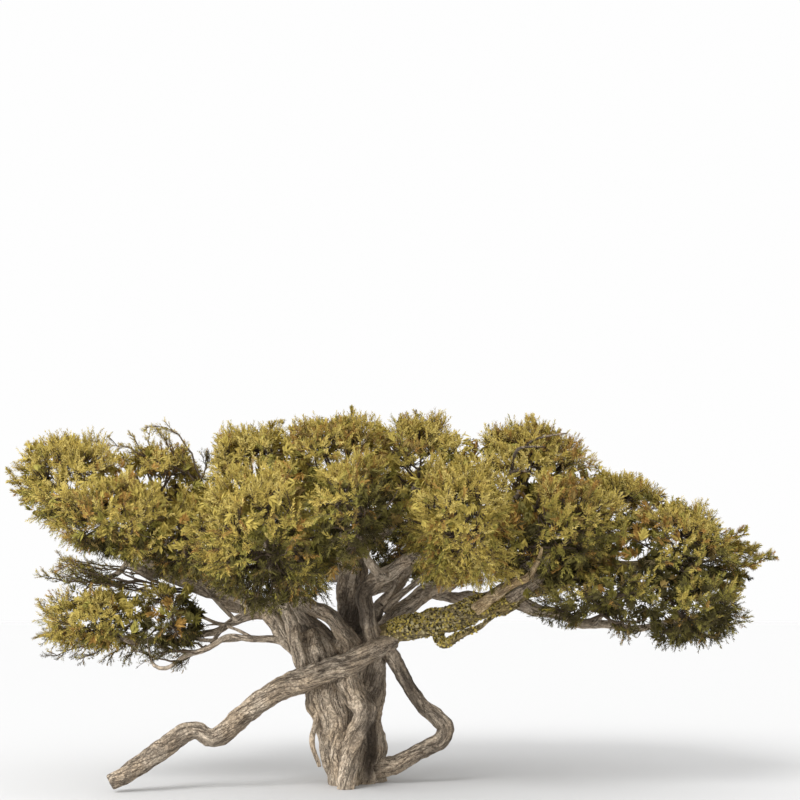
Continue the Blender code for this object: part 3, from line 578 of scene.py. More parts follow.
def bark_finish(name, pale, warm, dark, crack_and_shade):
    """Fissured bark: pale and warm patches, darker grain, near-black cracks, and painted shade in creases
    and shaded places.
    """
    material, shader, start = new_finish(name, 0.88)
    grain = start.node("ShaderNodeAttribute", {"attribute_name": "grain"}, {}, 1)
    depth = start.node("ShaderNodeAttribute", {"attribute_name": "depth"}, {}, 2)
    place = start.node("ShaderNodeTexCoord", {}, {}, 3)
    fibres = grain.cloud(40, 6, 0.70)
    cracks = 1 - (grain.cloud(13, 4, 0.62) - 0.5).size().between(0.0, 0.035)
    scales = 1 - (place.cloud(22, 4, 0.65) - 0.5).size().between(0.0, 0.05)
    patches = place.cloud(3.1, 4, 0.6).between(0.36, 0.64)
    # painted shade: the deeper a place lies in a crease, or the more shade is added there, the darker
    crease_shade = depth.between(0.04, 0.45)
    worn = place.cloud(42, 4, 0.75)
    colour = patches.tint(pale, warm)
    colour = (fibres.between(0.56, 0.36) * 0.75).tint(colour, dark)
    colour = (worn.between(0.52, 0.64) * 0.6).tint(colour, pale)
    colour = (worn.between(0.46, 0.34) * 0.60).tint(colour, dark)
    split = cracks.maths("MAXIMUM", cracks, scales * 0.5)
    colour = (split * 0.80).tint(colour, crack_and_shade)
    colour = (crease_shade * 0.85).tint(colour, crack_and_shade)
    start.tree.links.new(colour.socket, shader.inputs["Base Color"])
    height = fibres * 0.6 + worn * 0.5 - split * 0.8
    bump = start.node("ShaderNodeBump", {}, {"Strength": 1.0, "Distance": 0.018, "Height": height})
    start.tree.links.new(bump.socket, shader.inputs["Normal"])
    return material


def place_piece(name, mesh, finishes, nodes):
    """A piece of its own in its finishes, attached to the root, standing for the nodes whose solids it
    hides.
    """
    for finish in finishes:
        mesh.materials.append(finish)
    piece = bpy.data.objects.new(name, mesh)
    bpy.context.scene.collection.objects.link(piece)
    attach(piece, "root")
    if nodes:
        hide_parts(*nodes)
    return piece


def place_limbs(name, lines, step, finish, nodes):
    """One piece of skin round the lines of some limbs, with its bark raised."""
    mesh = raise_bark(grown_skin(name, lines, step), lines)
    mesh.shade_smooth()
    return place_piece(name, mesh, [finish], [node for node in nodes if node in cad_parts])


bark = bark_finish(
    "bark", (0.66, 0.55, 0.42), (0.56, 0.435, 0.30), (0.28, 0.21, 0.15), (0.045, 0.033, 0.024)
)
rough_boughs = {
    name: line
    for name, line in bough_lines.items()
    if name not in (*MOSSY_LIMBS, *FINE_LIMBS, "snag", "low_limb")
}
lower_lines = []
upper_lines = []
for line in rough_boughs.values():
    lower = int(np.argmax(line[:, 2] > UPPER_FROM)) or len(line)
    if lower > LEAST_POINTS:
        lower_lines.append(line[:lower])
    if lower < len(line) - LEAST_POINTS:
        upper_lines.append(line[max(0, lower - OVERLAP) :])
trunk_lines = [*stem_lines.values(), *[trace(way) for way in INNER_LIMBS]]
place_limbs("trunk_bark", trunk_lines, SKIN_STEP, bark, ["trunk"])
place_limbs("bough_bark", lower_lines, SKIN_STEP, bark, list(rough_boughs))
place_limbs("low_limb_bark", [bough_lines["low_limb"]], SKIN_STEP, bark, ["low_limb"])
place_limbs("loop_limb_bark", [loop_line], SKIN_STEP, bark, ["loop_limb_lower", "loop_limb_upper"])
place_limbs("upper_bark", upper_lines, UPPER_STEP, bark, list(rough_boughs))

# The rootlet on the trunk's left side, the thin boughs on the left and the bare branches are plain round
# wood, too slim to be ropy. They wear the same bark on a finer skin, and their feet are sunk in what
# carries them.

FINE_STEP = 0.008
BARE_BRANCHES = [  # thin branches bare of leaves, under the crown and over its right
    [
        (-0.95, 0.00, 2.02, 0.04), (-1.27, 0.00, 1.95, 0.032), (-1.60, 0.00, 1.87, 0.026),
        (-2.02, -0.05, 2.06, 0.012),
    ],
    [
        (-1.42, 0.00, 1.90, 0.026), (-1.56, 0.03, 2.03, 0.026), (-1.73, 0.05, 2.20, 0.022),
        (-1.90, 0.06, 2.40, 0.014),
    ],
    [
        (-1.10, 0.02, 2.00, 0.032), (-1.37, 0.06, 2.12, 0.028), (-1.51, 0.10, 2.26, 0.026),
        (-1.66, 0.16, 2.44, 0.018),
    ],
    [
        (-1.20, -0.18, 1.70, 0.026), (-1.39, -0.10, 1.80, 0.02), (-1.62, 0.00, 1.87, 0.016),
        (-1.80, 0.05, 1.86, 0.01),
    ],
    [
        (-1.70, -0.28, 1.66, 0.026), (-1.62, -0.16, 1.78, 0.02), (-1.54, 0.00, 1.87, 0.016),
    ],
    [
        (0.32, 0.06, 2.02, 0.05), (0.50, 0.10, 2.20, 0.042), (0.70, 0.14, 2.36, 0.034),
        (0.96, 0.20, 2.60, 0.022),
    ],
    [
        (0.30, 0.10, 2.10, 0.04), (0.42, 0.16, 2.27, 0.034), (0.50, 0.22, 2.46, 0.028),
        (0.60, 0.26, 2.70, 0.02),
    ],
    [
        (1.80, -0.70, 3.60, 0.018), (1.84, -1.00, 3.86, 0.017), (1.95, -0.86, 3.93, 0.015),
        (2.20, -0.76, 3.94, 0.011),
    ],
    [
        (1.90, -0.50, 3.88, 0.017), (2.03, -0.70, 4.00, 0.016), (2.21, -0.62, 4.07, 0.014),
        (2.48, -0.46, 4.12, 0.01),
    ],
    [
        (1.70, -0.50, 3.48, 0.018), (1.80, -0.88, 3.64, 0.017), (1.96, -0.90, 3.65, 0.015),
        (2.18, -0.97, 3.54, 0.011),
    ],
]

fine_lines = [bough_lines[name] for name in FINE_LIMBS] + [trace(way) for way in BARE_BRANCHES]
place_limbs("fine_limbs", fine_lines, FINE_STEP, bark, FINE_LIMBS)

# The great right bough and the small one under it are crusted with moss and lichen: the same ropy wood
# under a yellow-green coat, with loose scales of lichen that stand off its upper side and its flanks.

MOSSY_STEP = 0.012
SCALE_COUNT = 6200
SCALE_RADIUS = (0.007, 0.021)
SCALE_UNEVEN = (0.65, 1.2)  # shares of that radius round a scale's rim
SCALE_CUP = 0.45  # how far the rim stands up from the middle, in radii
SCALE_TILT = 0.5
SCALE_REACH = (0.36, 2.9)  # from where to where along x the lichen grows
PATCH_PITCH = 5.0  # it grows in patches, so many to a metre
SCALE_COLOURS = {  # and how often each falls on a scale
    "lichen_yellow": ((0.50, 0.39, 0.10), 0.52),
    "lichen_grey": ((0.50, 0.43, 0.24), 0.22),
    "lichen_dark": ((0.055, 0.045, 0.018), 0.26),
}

mossy_bark = bark_finish(
    "mossy_bark", (0.50, 0.40, 0.21), (0.40, 0.29, 0.11), (0.14, 0.11, 0.05), (0.03, 0.025, 0.012)
)
mossy_lines = [bough_lines[name] for name in MOSSY_LIMBS]
mossy = place_limbs("mossy_limbs", mossy_lines, MOSSY_STEP, mossy_bark, MOSSY_LIMBS)


def mesh_from(name, places, faces, slots=None):
    """A mesh from arrays of places and of triangles, with a material slot for each triangle if given."""
    mesh = bpy.data.meshes.new(name)
    mesh.vertices.add(len(places))
    mesh.vertices.foreach_set("co", np.ascontiguousarray(places, np.float32).ravel())
    mesh.loops.add(faces.size)
    mesh.loops.foreach_set("vertex_index", np.ascontiguousarray(faces, np.int32).ravel())
    mesh.polygons.add(len(faces))
    mesh.polygons.foreach_set("loop_start", np.arange(0, faces.size, 3, dtype=np.int32))
    if slots is not None:
        mesh.polygons.foreach_set("material_index", np.ascontiguousarray(slots, np.int32))
    mesh.update(calc_edges=True)
    return mesh


def unit(ways):
    """The directions, each of length 1."""
    return ways / np.linalg.norm(ways, axis=-1, keepdims=True)


def repeated(count, points, faces):
    """The triangles of one small form, numbered on for each of its count copies."""
    return (np.arange(count)[:, None, None] * points + np.array(faces)[None]).reshape(-1, 3)


def lichen_scales(host, count):
    """Six-sided scales, a little cupped, on the host's faces. Few sit on its under side."""
    draw = np.random.default_rng(11)
    mesh = host.data
    total = len(mesh.polygons)
    middles, normals, areas = np.empty(total * 3), np.empty(total * 3), np.empty(total)
    mesh.polygons.foreach_get("center", middles)
    mesh.polygons.foreach_get("normal", normals)
    mesh.polygons.foreach_get("area", areas)
    middles, normals = middles.reshape(-1, 3), normals.reshape(-1, 3)
    patch = ripples(middles * PATCH_PITCH)
    weight = areas * np.clip(normals[:, 2] + 0.75, 0.12, 1.4) * np.clip(patch + 0.45, 0.05, 1)
    weight *= (middles[:, 0] > SCALE_REACH[0]) & (middles[:, 0] < SCALE_REACH[1])
    picked = draw.choice(total, count, p=weight / weight.sum())
    up = unit(normals[picked] + draw.normal(0, SCALE_TILT, (count, 3)))
    side = unit(np.cross(up, draw.normal(0, 1, (count, 3))))
    other = np.cross(up, side)
    radius = draw.uniform(*SCALE_RADIUS, count)[:, None, None]
    turns = np.arange(6) * math.pi / 3
    rims = np.cos(turns)[None, :, None] * side[:, None] + np.sin(turns)[None, :, None] * other[:, None]
    rims = rims * radius * draw.uniform(*SCALE_UNEVEN, (count, 6, 1)) + up[:, None] * radius * SCALE_CUP
    places = np.concatenate([np.zeros((count, 1, 3)), rims], axis=1) + middles[picked][:, None]
    ring = np.arange(6)
    faces = repeated(count, 7, np.stack([np.zeros(6, int), ring + 1, (ring + 1) % 6 + 1], axis=1))
    slots = np.repeat(draw.choice(3, count, p=[often for _, often in SCALE_COLOURS.values()]), 6)
    return mesh_from("lichen", places.reshape(-1, 3), faces, slots)


def plain_finish(name, roughness, colour):
    """A finish of one colour."""
    material, shader, _ = new_finish(name, roughness)
    shader.inputs["Base Color"].default_value = (*colour, 1)
    return material


scale_finishes = [plain_finish(name, 0.95, colour) for name, (colour, _) in SCALE_COLOURS.items()]
place_piece("lichen", lichen_scales(mossy, SCALE_COUNT), scale_finishes, [])

# The snag is a dead limb that has broken off and lost its bark: bleached tan wood with fine checks along
# its grain. Its foot is sunk in the great right bough.

dead_wood = bark_finish(
    "dead_wood", (0.74, 0.58, 0.36), (0.62, 0.43, 0.21), (0.40, 0.27, 0.13), (0.14, 0.08, 0.04)
)
place_limbs("dead_snag", [bough_lines["snag"]], FINE_STEP, dead_wood, ["snag"])

# The crown. Each mass of foliage keeps to its own space, and the skins of neighbours run together into one
# lumpy skin with shallow grooves. Arms spring from a mass's stem, branches leave the arms, and each branch
# ends in a tuft of leafy shoots under the skin. Broader leaves, painted darker as shade, fill the mass
# behind the tufts.

CLEAR = 0.015  # between a limb and any twig that passes it
BESIDE = (1.2, 0.1)  # a limb is beside a mass within so many of its radii, and so many metres more
OWN_STEM = 0.45  # a limb this many of a mass's least radii from its hub counts as its own stem
ARM_AREA = 0.85  # square metres of a mass's skin to each arm
ARM_LEAST = 0.3  # a shorter arm isn't grown
ARM_SHARE = 0.80  # how far out the arms reach
PATH_BOW = 0.07  # how far a twig bows to a side, as a share of its length
PATH_WOBBLE = 0.018
BLEND = 4.9  # two skins that meet run together log(2) / BLEND of a radius out
SKIN = 0.965  # how far out the crown's skin lies, in radii of a mass
SWELLS = ((1.7, 0.16), (3.9, 0.10), (8.5, 0.05))  # of the skin: how many to a metre, and how high in radii
LOW_MASSES = ("low_left", "low_left_inner", "left_twigs")  # these hang apart from the rest, under open sky
LOW_TOPS = {"left_mid": 0.24, "right_far": 0.14, "right_upper": 0.16, "top_left": 0.12, "top_centre": 0.10}
DEEP_SKIRTS = {
    "centre_front": 0.26,
    "right_front": 0.26,
    "centre_left_front": 0.22,
    "top_left": 0.22,
    "top_centre": 0.28,
    "top_right_centre": 0.28,
    "top_right": 0.28,
    "right_upper": 0.28,
    "right_mid": 0.16,
    "right_far": 0.22,
}
HOLLOWS = (  # wells in the skin, which the leaves' colours also paint in shade, and, below nought, bulges: middle, radii, and how deep, in radii of a mass
    ((0.46, -2.30, 2.82), (0.35, 0.98, 0.66), 0.84),
    ((0.22, -1.30, 2.46), (0.26, 0.65, 0.17), 0.60),
    ((1.22, 0.00, 4.28), (0.10, 1.20, 0.16), 0.25),
    ((3.10, 0.40, 3.86), (0.40, 0.80, 0.16), 0.25),
    ((4.64, -0.60, 2.28), (0.16, 0.80, 0.20), 0.25),
    ((-3.96, 0.00, 1.92), (0.18, 0.80, 0.40), 0.30),
    ((-1.55, -0.20, 1.84), (0.24, 0.90, 0.26), 0.90),
    ((-3.80, 0.00, 4.05), (0.34, 0.70, 0.22), -0.24),
    ((-2.50, 0.00, 3.56), (0.40, 1.00, 0.28), -0.18),
    ((3.28, -0.10, 2.78), (0.30, 1.00, 0.22), -0.20),
    ((3.80, -0.10, 2.90), (0.24, 0.90, 0.20), -0.12),
    ((-0.29, 0.00, 3.86), (0.25, 1.00, 0.18), -0.18),
    ((0.00, 2.90, 3.10), (3.20, 0.60, 1.20), 0.06),
    ((-2.75, -1.75, 2.76), (0.30, 0.50, 0.20), 0.45),
    ((-0.84, -2.45, 2.64), (0.20, 0.60, 0.26), 0.35),
    ((1.80, -2.30, 3.05), (0.20, 0.70, 0.42), 0.35),
    ((2.92, -1.75, 3.05), (0.18, 0.50, 0.22), 0.35),
    ((2.70, -1.40, 2.52), (0.40, 0.60, 0.22), 0.40),
    ((-3.15, -1.00, 2.52), (0.50, 0.90, 0.17), 0.60),
    ((-1.62, -0.30, 2.13), (0.36, 1.10, 0.15), 0.90),
    ((-1.86, 0.10, 3.90), (0.15, 1.20, 0.30), 0.60),
    ((-1.60, 0.10, 3.90), (0.16, 1.00, 0.30), -0.16),
    ((4.62, -0.20, 3.25), (0.34, 1.00, 0.34), 0.45),
    ((2.50, -0.90, 1.70), (0.34, 0.80, 0.16), 0.40),
    ((2.80, -0.30, 1.98), (0.24, 1.60, 0.18), 0.90),
)
GOLDEN_ANGLE = math.pi * (3 - math.sqrt(5))
TUFT_AREA = 0.0245  # square metres of the crown's skin to each tuft
TUFT_TRIES = 2.6  # ways tried for each tuft, so that skin that lies aslant gets its share
TUFT_INSET = (0.10, 0.26)  # how far under the skin a branch ends
BRANCH_HEART = 0.42  # a branch leaves the arm that is nearest this far along the way to its tuft
SHOOTS_EACH = 5
SHOOT_LENGTH = (0.10, 0.21)
SHOOT_LEAN = (8, 74)  # degrees from the way out of the crown
SHOOT_RISE = 0.25  # how much a shoot turns up to the light
SHOOT_STUB = 0.07  # a shoot is never cut back shorter than about this
SHOOT_PAST = 1.02  # a shoot that ends this far out of the skin is cut back
LEAVES_EACH = 18
LEAF_LENGTH = (0.036, 0.058)
LEAF_WIDTH = 0.25  # as a share of the leaf's length
LEAF_BELLY = 0.46  # how far along it is widest
LEAF_FOLD = 0.16  # how deep it is folded there, as a share of its width
LEAF_LEAN = (30, 66)  # degrees from its shoot
LEAF_FACING = 0.72  # how much a leaf's face turns to the sky outside the crown, against its shoot
INNER_AREA = 0.034  # square metres of a mass's skin to each inner spray
INNER_DEPTH = (0.46, 0.92)  # how far out from the mass's middle the inner sprays stand
INNER_DEEP = 1.25  # more where another mass begins before the skin does
INNER_UNDER = 0.84  # none reaches further out in the crown than this
INNER_SPAN = 0.12
INNER_EACH = 17
INNER_LENGTH = (0.075, 0.125)
INNER_WIDTH = 0.30


def out_of(middle, radii, points):
    """How far out each point is from the middle, in radii."""
    return np.linalg.norm((points - middle) / np.array(radii), axis=1)


def depth_in(mass, points):
    """How far out each point is in the mass's space: 0 in its middle, 1 at the space's radius."""
    return out_of(*MASSES[mass], np.atleast_2d(points))


def hollow(points):
    """How deep each point lies in the wells, in radii of a mass."""
    return sum(depth * bell(points, middle, radii) for middle, radii, depth in HOLLOWS)


def neighbours(mass):
    """The masses that share a skin with this one, itself among them."""
    return [other for other in MASSES if (other in LOW_MASSES) == (mass in LOW_MASSES)]


def own_space(mass, points):
    """Whether each point is nearer to this mass than to any other."""
    own = depth_in(mass, points)
    return np.all([own <= depth_in(other, points) for other in MASSES], axis=0)


def skin_depth(mass, points):
    """How far out each point is in the crown: 1 at the lumpy skin shared with the mass's neighbours."""
    near = [np.exp(-BLEND * depth_in(other, points)) for other in neighbours(mass)]
    depth = -np.log(np.sum(near, axis=0)) / BLEND + 1 - SKIN
    for pitch, height in SWELLS:
        depth += height * ripples(points * pitch)
    middle, radii = MASSES[mass]
    rise = (points[:, 2] - middle[2]) / radii[2]
    depth += LOW_TOPS.get(mass, 0) * np.clip(rise, 0, 1) - DEEP_SKIRTS.get(mass, 0) * np.clip(-rise, 0, 1)
    return depth + hollow(points)


all_limbs = np.vstack([*stem_lines.values(), loop_line, *bough_lines.values()])


def off_limbs(points, limbs):
    """Whether each point keeps clear of every limb."""
    clear = np.empty(len(points), bool)
    for start in range(0, len(points), CHUNK):
        part = points[start : start + CHUNK]
        gaps = np.linalg.norm(part[:, None, :] - limbs[None, :, :3], axis=2) - limbs[None, :, 3]
        clear[start : start + CHUNK] = gaps.min(axis=1) > CLEAR
    return clear


def limbs_near(mass):
    """Every third point of the limbs in or beside the mass's space, without the stem that carries it."""
    middle, radii = MASSES[mass]
    apart = out_of(middle, np.array(radii) * BESIDE[0] + BESIDE[1], all_limbs[:, :3])
    hub = np.linalg.norm(all_limbs[:, :3] - hub_of(mass), axis=1)
    near = all_limbs[(apart < 1) & (hub > OWN_STEM * min(radii))][::3]
    return near if len(near) else all_limbs[:1]


def reach(mass, ways, limbs):
    """How far from the mass's middle each way runs in its own space, and whether it ends at the skin."""
    middle, radii = MASSES[mass]
    full = 1 / np.linalg.norm(ways / np.array(radii), axis=1)
    shares = np.linspace(0.06, 1.35, 32)
    points = np.array(middle) + ways[:, None] * (full[:, None] * shares)[:, :, None]
    points = points.reshape(-1, 3)
    inside = (skin_depth(mass, points) < 1).reshape(len(ways), -1)
    own = (own_space(mass, points) & off_limbs(points, limbs)).reshape(len(ways), -1)
    inside[:, -1] = False
    last = (inside & own).argmin(axis=1)
    far = full * shares[np.maximum(last - 1, 0)]
    return far, own[np.arange(len(ways)), last] & (last > 3)


def even_ways(count, turn):
    """Directions spread evenly over a sphere, from the top down, turned by an angle."""
    heights = 1 - (np.arange(count) + 0.5) * 2 / count
    turns = turn + GOLDEN_ANGLE * np.arange(count)
    flat = np.sqrt(1 - heights**2)
    return np.stack([flat * np.cos(turns), flat * np.sin(turns), heights], axis=1)


def skin_area(mass):
    """Surface of the mass's space, near enough, by its mean radius."""
    radii = MASSES[mass][1]
    return 4 * math.pi * (radii[0] * radii[1] * radii[2]) ** (2 / 3)


def outward(mass, points):
    """The way out of the crown at each point, square to its skin but for the swells."""
    ways = np.zeros(points.shape)
    for other in neighbours(mass):
        middle, radii = MASSES[other]
        pull = np.exp(-BLEND * depth_in(other, points))
        ways += unit((points - middle) / np.array(radii) ** 2) * pull[:, None]
    return unit(ways)


def square_to(ways, draw):
    """A direction at random, square to each of the ways."""
    return unit(np.cross(ways, draw.normal(0, 1, ways.shape)))


def leaned(ways, degrees, draw):
    """Each way, tilted to a side at random by some degrees from a range."""
    lean = np.radians(draw.uniform(*degrees, len(ways)))[:, None]
    return ways * np.cos(lean) + square_to(ways, draw) * np.sin(lean)


def arms_of(mass, limbs):
    """Where each arm of a mass ends."""
    ways = even_ways(round(skin_area(mass) / ARM_AREA), random.Random(mass).uniform(0, 2 * math.pi))
    far, _ = reach(mass, ways, limbs)
    free = far > ARM_LEAST
    return np.array(MASSES[mass][0]) + ways[free] * (far[free] * ARM_SHARE)[:, None]


def bent_paths(starts, ends, sag, count, draw):
    """Paths from starts to ends through count points, bowed down by sag times their length, with wobble."""
    runs = ends - starts
    length = np.linalg.norm(runs, axis=1)[:, None, None]
    share = np.linspace(0, 1, count)[None, :, None]
    bow = np.array([0, 0, -1.0]) * sag + draw.normal(0, PATH_BOW, (len(starts), 1, 3))
    wobble = draw.normal(0, PATH_WOBBLE, (len(starts), count, 3)) * length
    wobble[:, [0, -1]] = 0
    return starts[:, None] + runs[:, None] * share + 4 * share * (1 - share) * bow * length + wobble


def twig_tubes(paths, foot, tip, sides):
    """Closed tubes along the paths, from one radius at the foot to another at the tip."""
    twigs, points, _ = paths.shape
    ahead = unit(np.gradient(paths, axis=1))
    side = unit(np.cross(ahead, (0.31, 0.17, 0.93)))
    other = np.cross(ahead, side)
    turns = np.arange(sides) * 2 * math.pi / sides
    rings = side[:, :, None] * np.cos(turns)[:, None] + other[:, :, None] * np.sin(turns)[:, None]
    places = paths[:, :, None] + rings * np.linspace(foot, tip, points)[:, None, None]
    here = np.arange(sides)
    after = (here + 1) % sides
    faces = []
    for k in range(points - 1):
        low, high = k * sides, (k + 1) * sides
        faces += [np.stack([low + here, low + after, high + after], axis=1)]
        faces += [np.stack([low + here, high + after, high + here], axis=1)]
    fan = np.arange(1, sides - 1)
    last = (points - 1) * sides
    faces += [np.stack([np.zeros_like(fan), fan + 1, fan], axis=1)]
    faces += [np.stack([np.full_like(fan, last), last + fan, last + fan + 1], axis=1)]
    return places.reshape(-1, 3), repeated(twigs, points * sides, np.vstack(faces))


def points_on(paths, owner, share):
    """The place at this share of each owner's path."""
    spot = share * (paths.shape[1] - 1)
    step = np.minimum(spot.astype(int), paths.shape[1] - 2)
    part = (spot - step)[:, None]
    return paths[owner, step] * (1 - part) + paths[owner, step + 1] * part


def tufts_of(mass, limbs, arms, draw):
    """Branches of a mass, and the roots, tips and owners of the shoots in their tufts."""
    middle = np.array(MASSES[mass][0])
    hub = np.array(hub_of(mass))
    ways = even_ways(round(skin_area(mass) / TUFT_AREA * TUFT_TRIES), draw.uniform(*ANY_TURN))
    ways = unit(ways + draw.normal(0, 0.03, ways.shape))
    far, at_skin = reach(mass, ways, limbs)
    slant = (outward(mass, middle + ways * far[:, None]) * ways).sum(axis=1)
    skin_each = 4 * math.pi / len(ways) * far**2 / np.clip(slant, 0.3, 1)
    kept = at_skin & (draw.uniform(0, 1, len(ways)) < skin_each / TUFT_AREA)
    ways, far = ways[kept], far[kept]
    inset = np.minimum(draw.uniform(*TUFT_INSET, len(ways)), far * 0.5)
    ends = middle + ways * (far - inset)[:, None]
    marks = np.linspace(0.3, 0.9, 8)[:, None, None]
    forks = (hub + (arms - hub) * marks).reshape(-1, 3)
    heart = middle + ways * (far * BRANCH_HEART)[:, None]
    nearest = np.linalg.norm(heart[:, None] - forks[None], axis=2).argmin(axis=1)
    branches = bent_paths(forks[nearest], ends, 0.05, 3, draw)
    owner = np.repeat(np.arange(len(ways)), SHOOTS_EACH)
    roots = points_on(branches, owner, draw.uniform(0.45, 1.0, len(owner)) ** 0.5)
    shoots = leaned(outward(mass, ends)[owner], SHOOT_LEAN, draw) + np.array([0, 0, SHOOT_RISE])
    shoots = unit(shoots) * draw.uniform(*SHOOT_LENGTH, len(owner))[:, None]
    for _ in range(4):
        outside = np.flatnonzero(np.linalg.norm(shoots, axis=1) > SHOOT_STUB)
        outside = outside[skin_depth(mass, (roots + shoots)[outside]) > SHOOT_PAST]
        shoots[outside] *= 0.8
    tips = roots + shoots
    clear = off_limbs(tips, limbs)
    return branches, roots[clear], tips[clear], owner[clear]


def inner_sprays(mass, limbs, draw):
    """Roots and tips of the sprays that fill the mass behind its tufts."""
    ways = even_ways(round(skin_area(mass) / INNER_AREA), draw.uniform(*ANY_TURN))
    far, at_skin = reach(mass, ways, limbs)
    share = draw.uniform(*INNER_DEPTH, len(ways))
    share[~at_skin] *= INNER_DEEP
    roots = np.array(MASSES[mass][0]) + ways * (far * share)[:, None]
    tips = roots + unit(draw.normal(0, 1, ways.shape)) * INNER_SPAN
    clear = off_limbs(tips, limbs) & (skin_depth(mass, tips) < INNER_UNDER)
    return roots[clear], tips[clear]


def leaves_on(mass, roots, tips, slots, each, length, width, draw):
    """Narrow folded leaves round each shoot, smaller towards its tip: places, triangles and slots."""
    ahead = tips - roots
    run = np.linalg.norm(ahead, axis=1)
    ahead /= run[:, None]
    count = len(roots) * each
    owner = np.repeat(np.arange(len(roots)), each)
    number = np.tile(np.arange(each), len(roots))
    share = (number + draw.uniform(0, 1, count)) / each
    side = square_to(ahead, draw)[owner]
    other = np.cross(ahead[owner], side)
    turn = GOLDEN_ANGLE * number + draw.uniform(-0.4, 0.4, count)
    out = side * np.cos(turn)[:, None] + other * np.sin(turn)[:, None]
    lean = np.radians(draw.uniform(*LEAF_LEAN, count) * (1 - 0.5 * share))
    way = ahead[owner] * np.cos(lean)[:, None] + out * np.sin(lean)[:, None]
    sky = outward(mass, tips)[owner] * LEAF_FACING + ahead[owner] * (1 - LEAF_FACING)
    across = unit(np.cross(way, sky + draw.normal(0, 0.18, way.shape)))
    face = np.cross(across, way)
    size = (draw.uniform(*length, count) * (1.08 - 0.35 * share))[:, None]
    base = roots[owner] + ahead[owner] * (run[owner] * (0.10 + 0.90 * share))[:, None]
    belly = base + way * size * LEAF_BELLY + face * size * width * LEAF_FOLD
    wide = across * size * width / 2
    tip = base + way * size - face * size * 0.05
    places = np.stack([base, belly + wide, tip, belly - wide], axis=1)
    return places.reshape(-1, 3), repeated(count, 4, [[0, 1, 2], [0, 2, 3]]), np.repeat(slots[owner], 2)

# The leaves' colours are painted light and shade, from pale gold, a painted highlight on the tops, to near
# black, painted shade in the wells. Each spray is of one colour, dealt by how it faces the sky, how high it
# is and how deep, in slow drifts over the crown.

# from the palest, painted light, through gold, olive and green to the darkest two, painted shade; rust and
# brown are the leaves' own tints
LEAF_COLOURS = {
    "leaf_painted_light": (0.53, 0.425, 0.130),
    "leaf_gold": (0.46, 0.350, 0.086),
    "leaf_olive": (0.40, 0.315, 0.074),
    "leaf_green": (0.28, 0.245, 0.055),
    "leaf_rust": (0.34, 0.195, 0.050),
    "leaf_brown": (0.21, 0.145, 0.045),
    "leaf_painted_shade": (0.145, 0.125, 0.033),
    "leaf_painted_deep_shade": (0.060, 0.050, 0.016),
}
LEAF_MIX = (  # how often each colour falls on a spray, from the brightest places to the darkest
    (0.30, 0.38, 0.26, 0.03, 0.03, 0.00, 0.00, 0.00),
    (0.10, 0.30, 0.42, 0.10, 0.05, 0.03, 0.00, 0.00),
    (0.02, 0.14, 0.42, 0.28, 0.06, 0.05, 0.03, 0.00),
    (0.00, 0.04, 0.16, 0.28, 0.05, 0.11, 0.32, 0.04),
    (0.00, 0.00, 0.00, 0.05, 0.02, 0.08, 0.33, 0.52),
    (0.04, 0.22, 0.18, 0.05, 0.30, 0.18, 0.03, 0.00),  # the rusty patches of the three brightest
)
# The light here is painted: a level that picks each spray's colour, lighter on tops and faces to the sky,
# darker low, in grooves, wells and shaded places.
LEVEL_STEPS = (0.42, 0.08, -0.26, -0.60)  # the light at which one mix gives way to the next
LIGHT_START = 0.14  # the light that every spray has
LIGHT_SCATTER = 0.10
BY_FACING = 0.46  # how much light a spray gains where it faces the sky
BY_HEIGHT = 0.58  # and for each HEIGHT_SPAN that it stands above HEIGHT_MIDDLE
HEIGHT_MIDDLE = 2.9
HEIGHT_SPAN = 1.5
BY_DRIFT = 0.55  # what it gains or loses in slow drifts
DRIFT_PITCH = 1.5  # drifts to a metre
BY_GROOVE = 1.2  # what it loses in the grooves between masses
GROOVE_FROM = 0.98  # a groove begins this many of its mass's radii out
BY_WELL = 2.0  # and in the wells
RUST_FROM = 0.30  # the noise over which a patch is rusty
RUST_PITCH = 1.25
RUST_APART = 7.3  # so that the patches don't follow the drifts
RUST_RISE = 0.05  # that noise rises this much with each metre to the right
RUSTY_MIX = 5
TUFT_ALIKE = 0.30  # the share of sprays that take their tuft's colour
BRIGHTER = {  # masses whose leaves are painted lighter or darker than their height and facing tell
    "right_front": 0.76,
    "centre_left_front": 0.08,
    "centre_front": -0.30,
    "left_front": 0.22,
    "low_left": 0.75,
    "right_mid": -0.16,
    "right_far": -0.42,
    "right_far_low": -0.36,
    "right_low": -0.46,
}
SHADED = (  # places painted in shade, where other masses would shade them: middle, radii, and how much darker
    ((0.36, -0.90, 2.92), (0.22, 2.00, 0.50), 1.20),
    ((-0.72, -1.30, 2.34), (0.60, 1.30, 0.22), 0.40),
    ((-1.10, -0.80, 3.85), (0.50, 1.00, 0.30), 0.15),
    ((3.10, -0.60, 2.05), (1.10, 1.30, 0.30), 0.15),
)

leaf_finishes = [plain_finish(name, 0.7, colour) for name, colour in LEAF_COLOURS.items()]
for finish in leaf_finishes:
    shader = finish.node_tree.nodes["Principled BSDF"]
    shader.inputs["Specular IOR Level"].default_value = 0.12


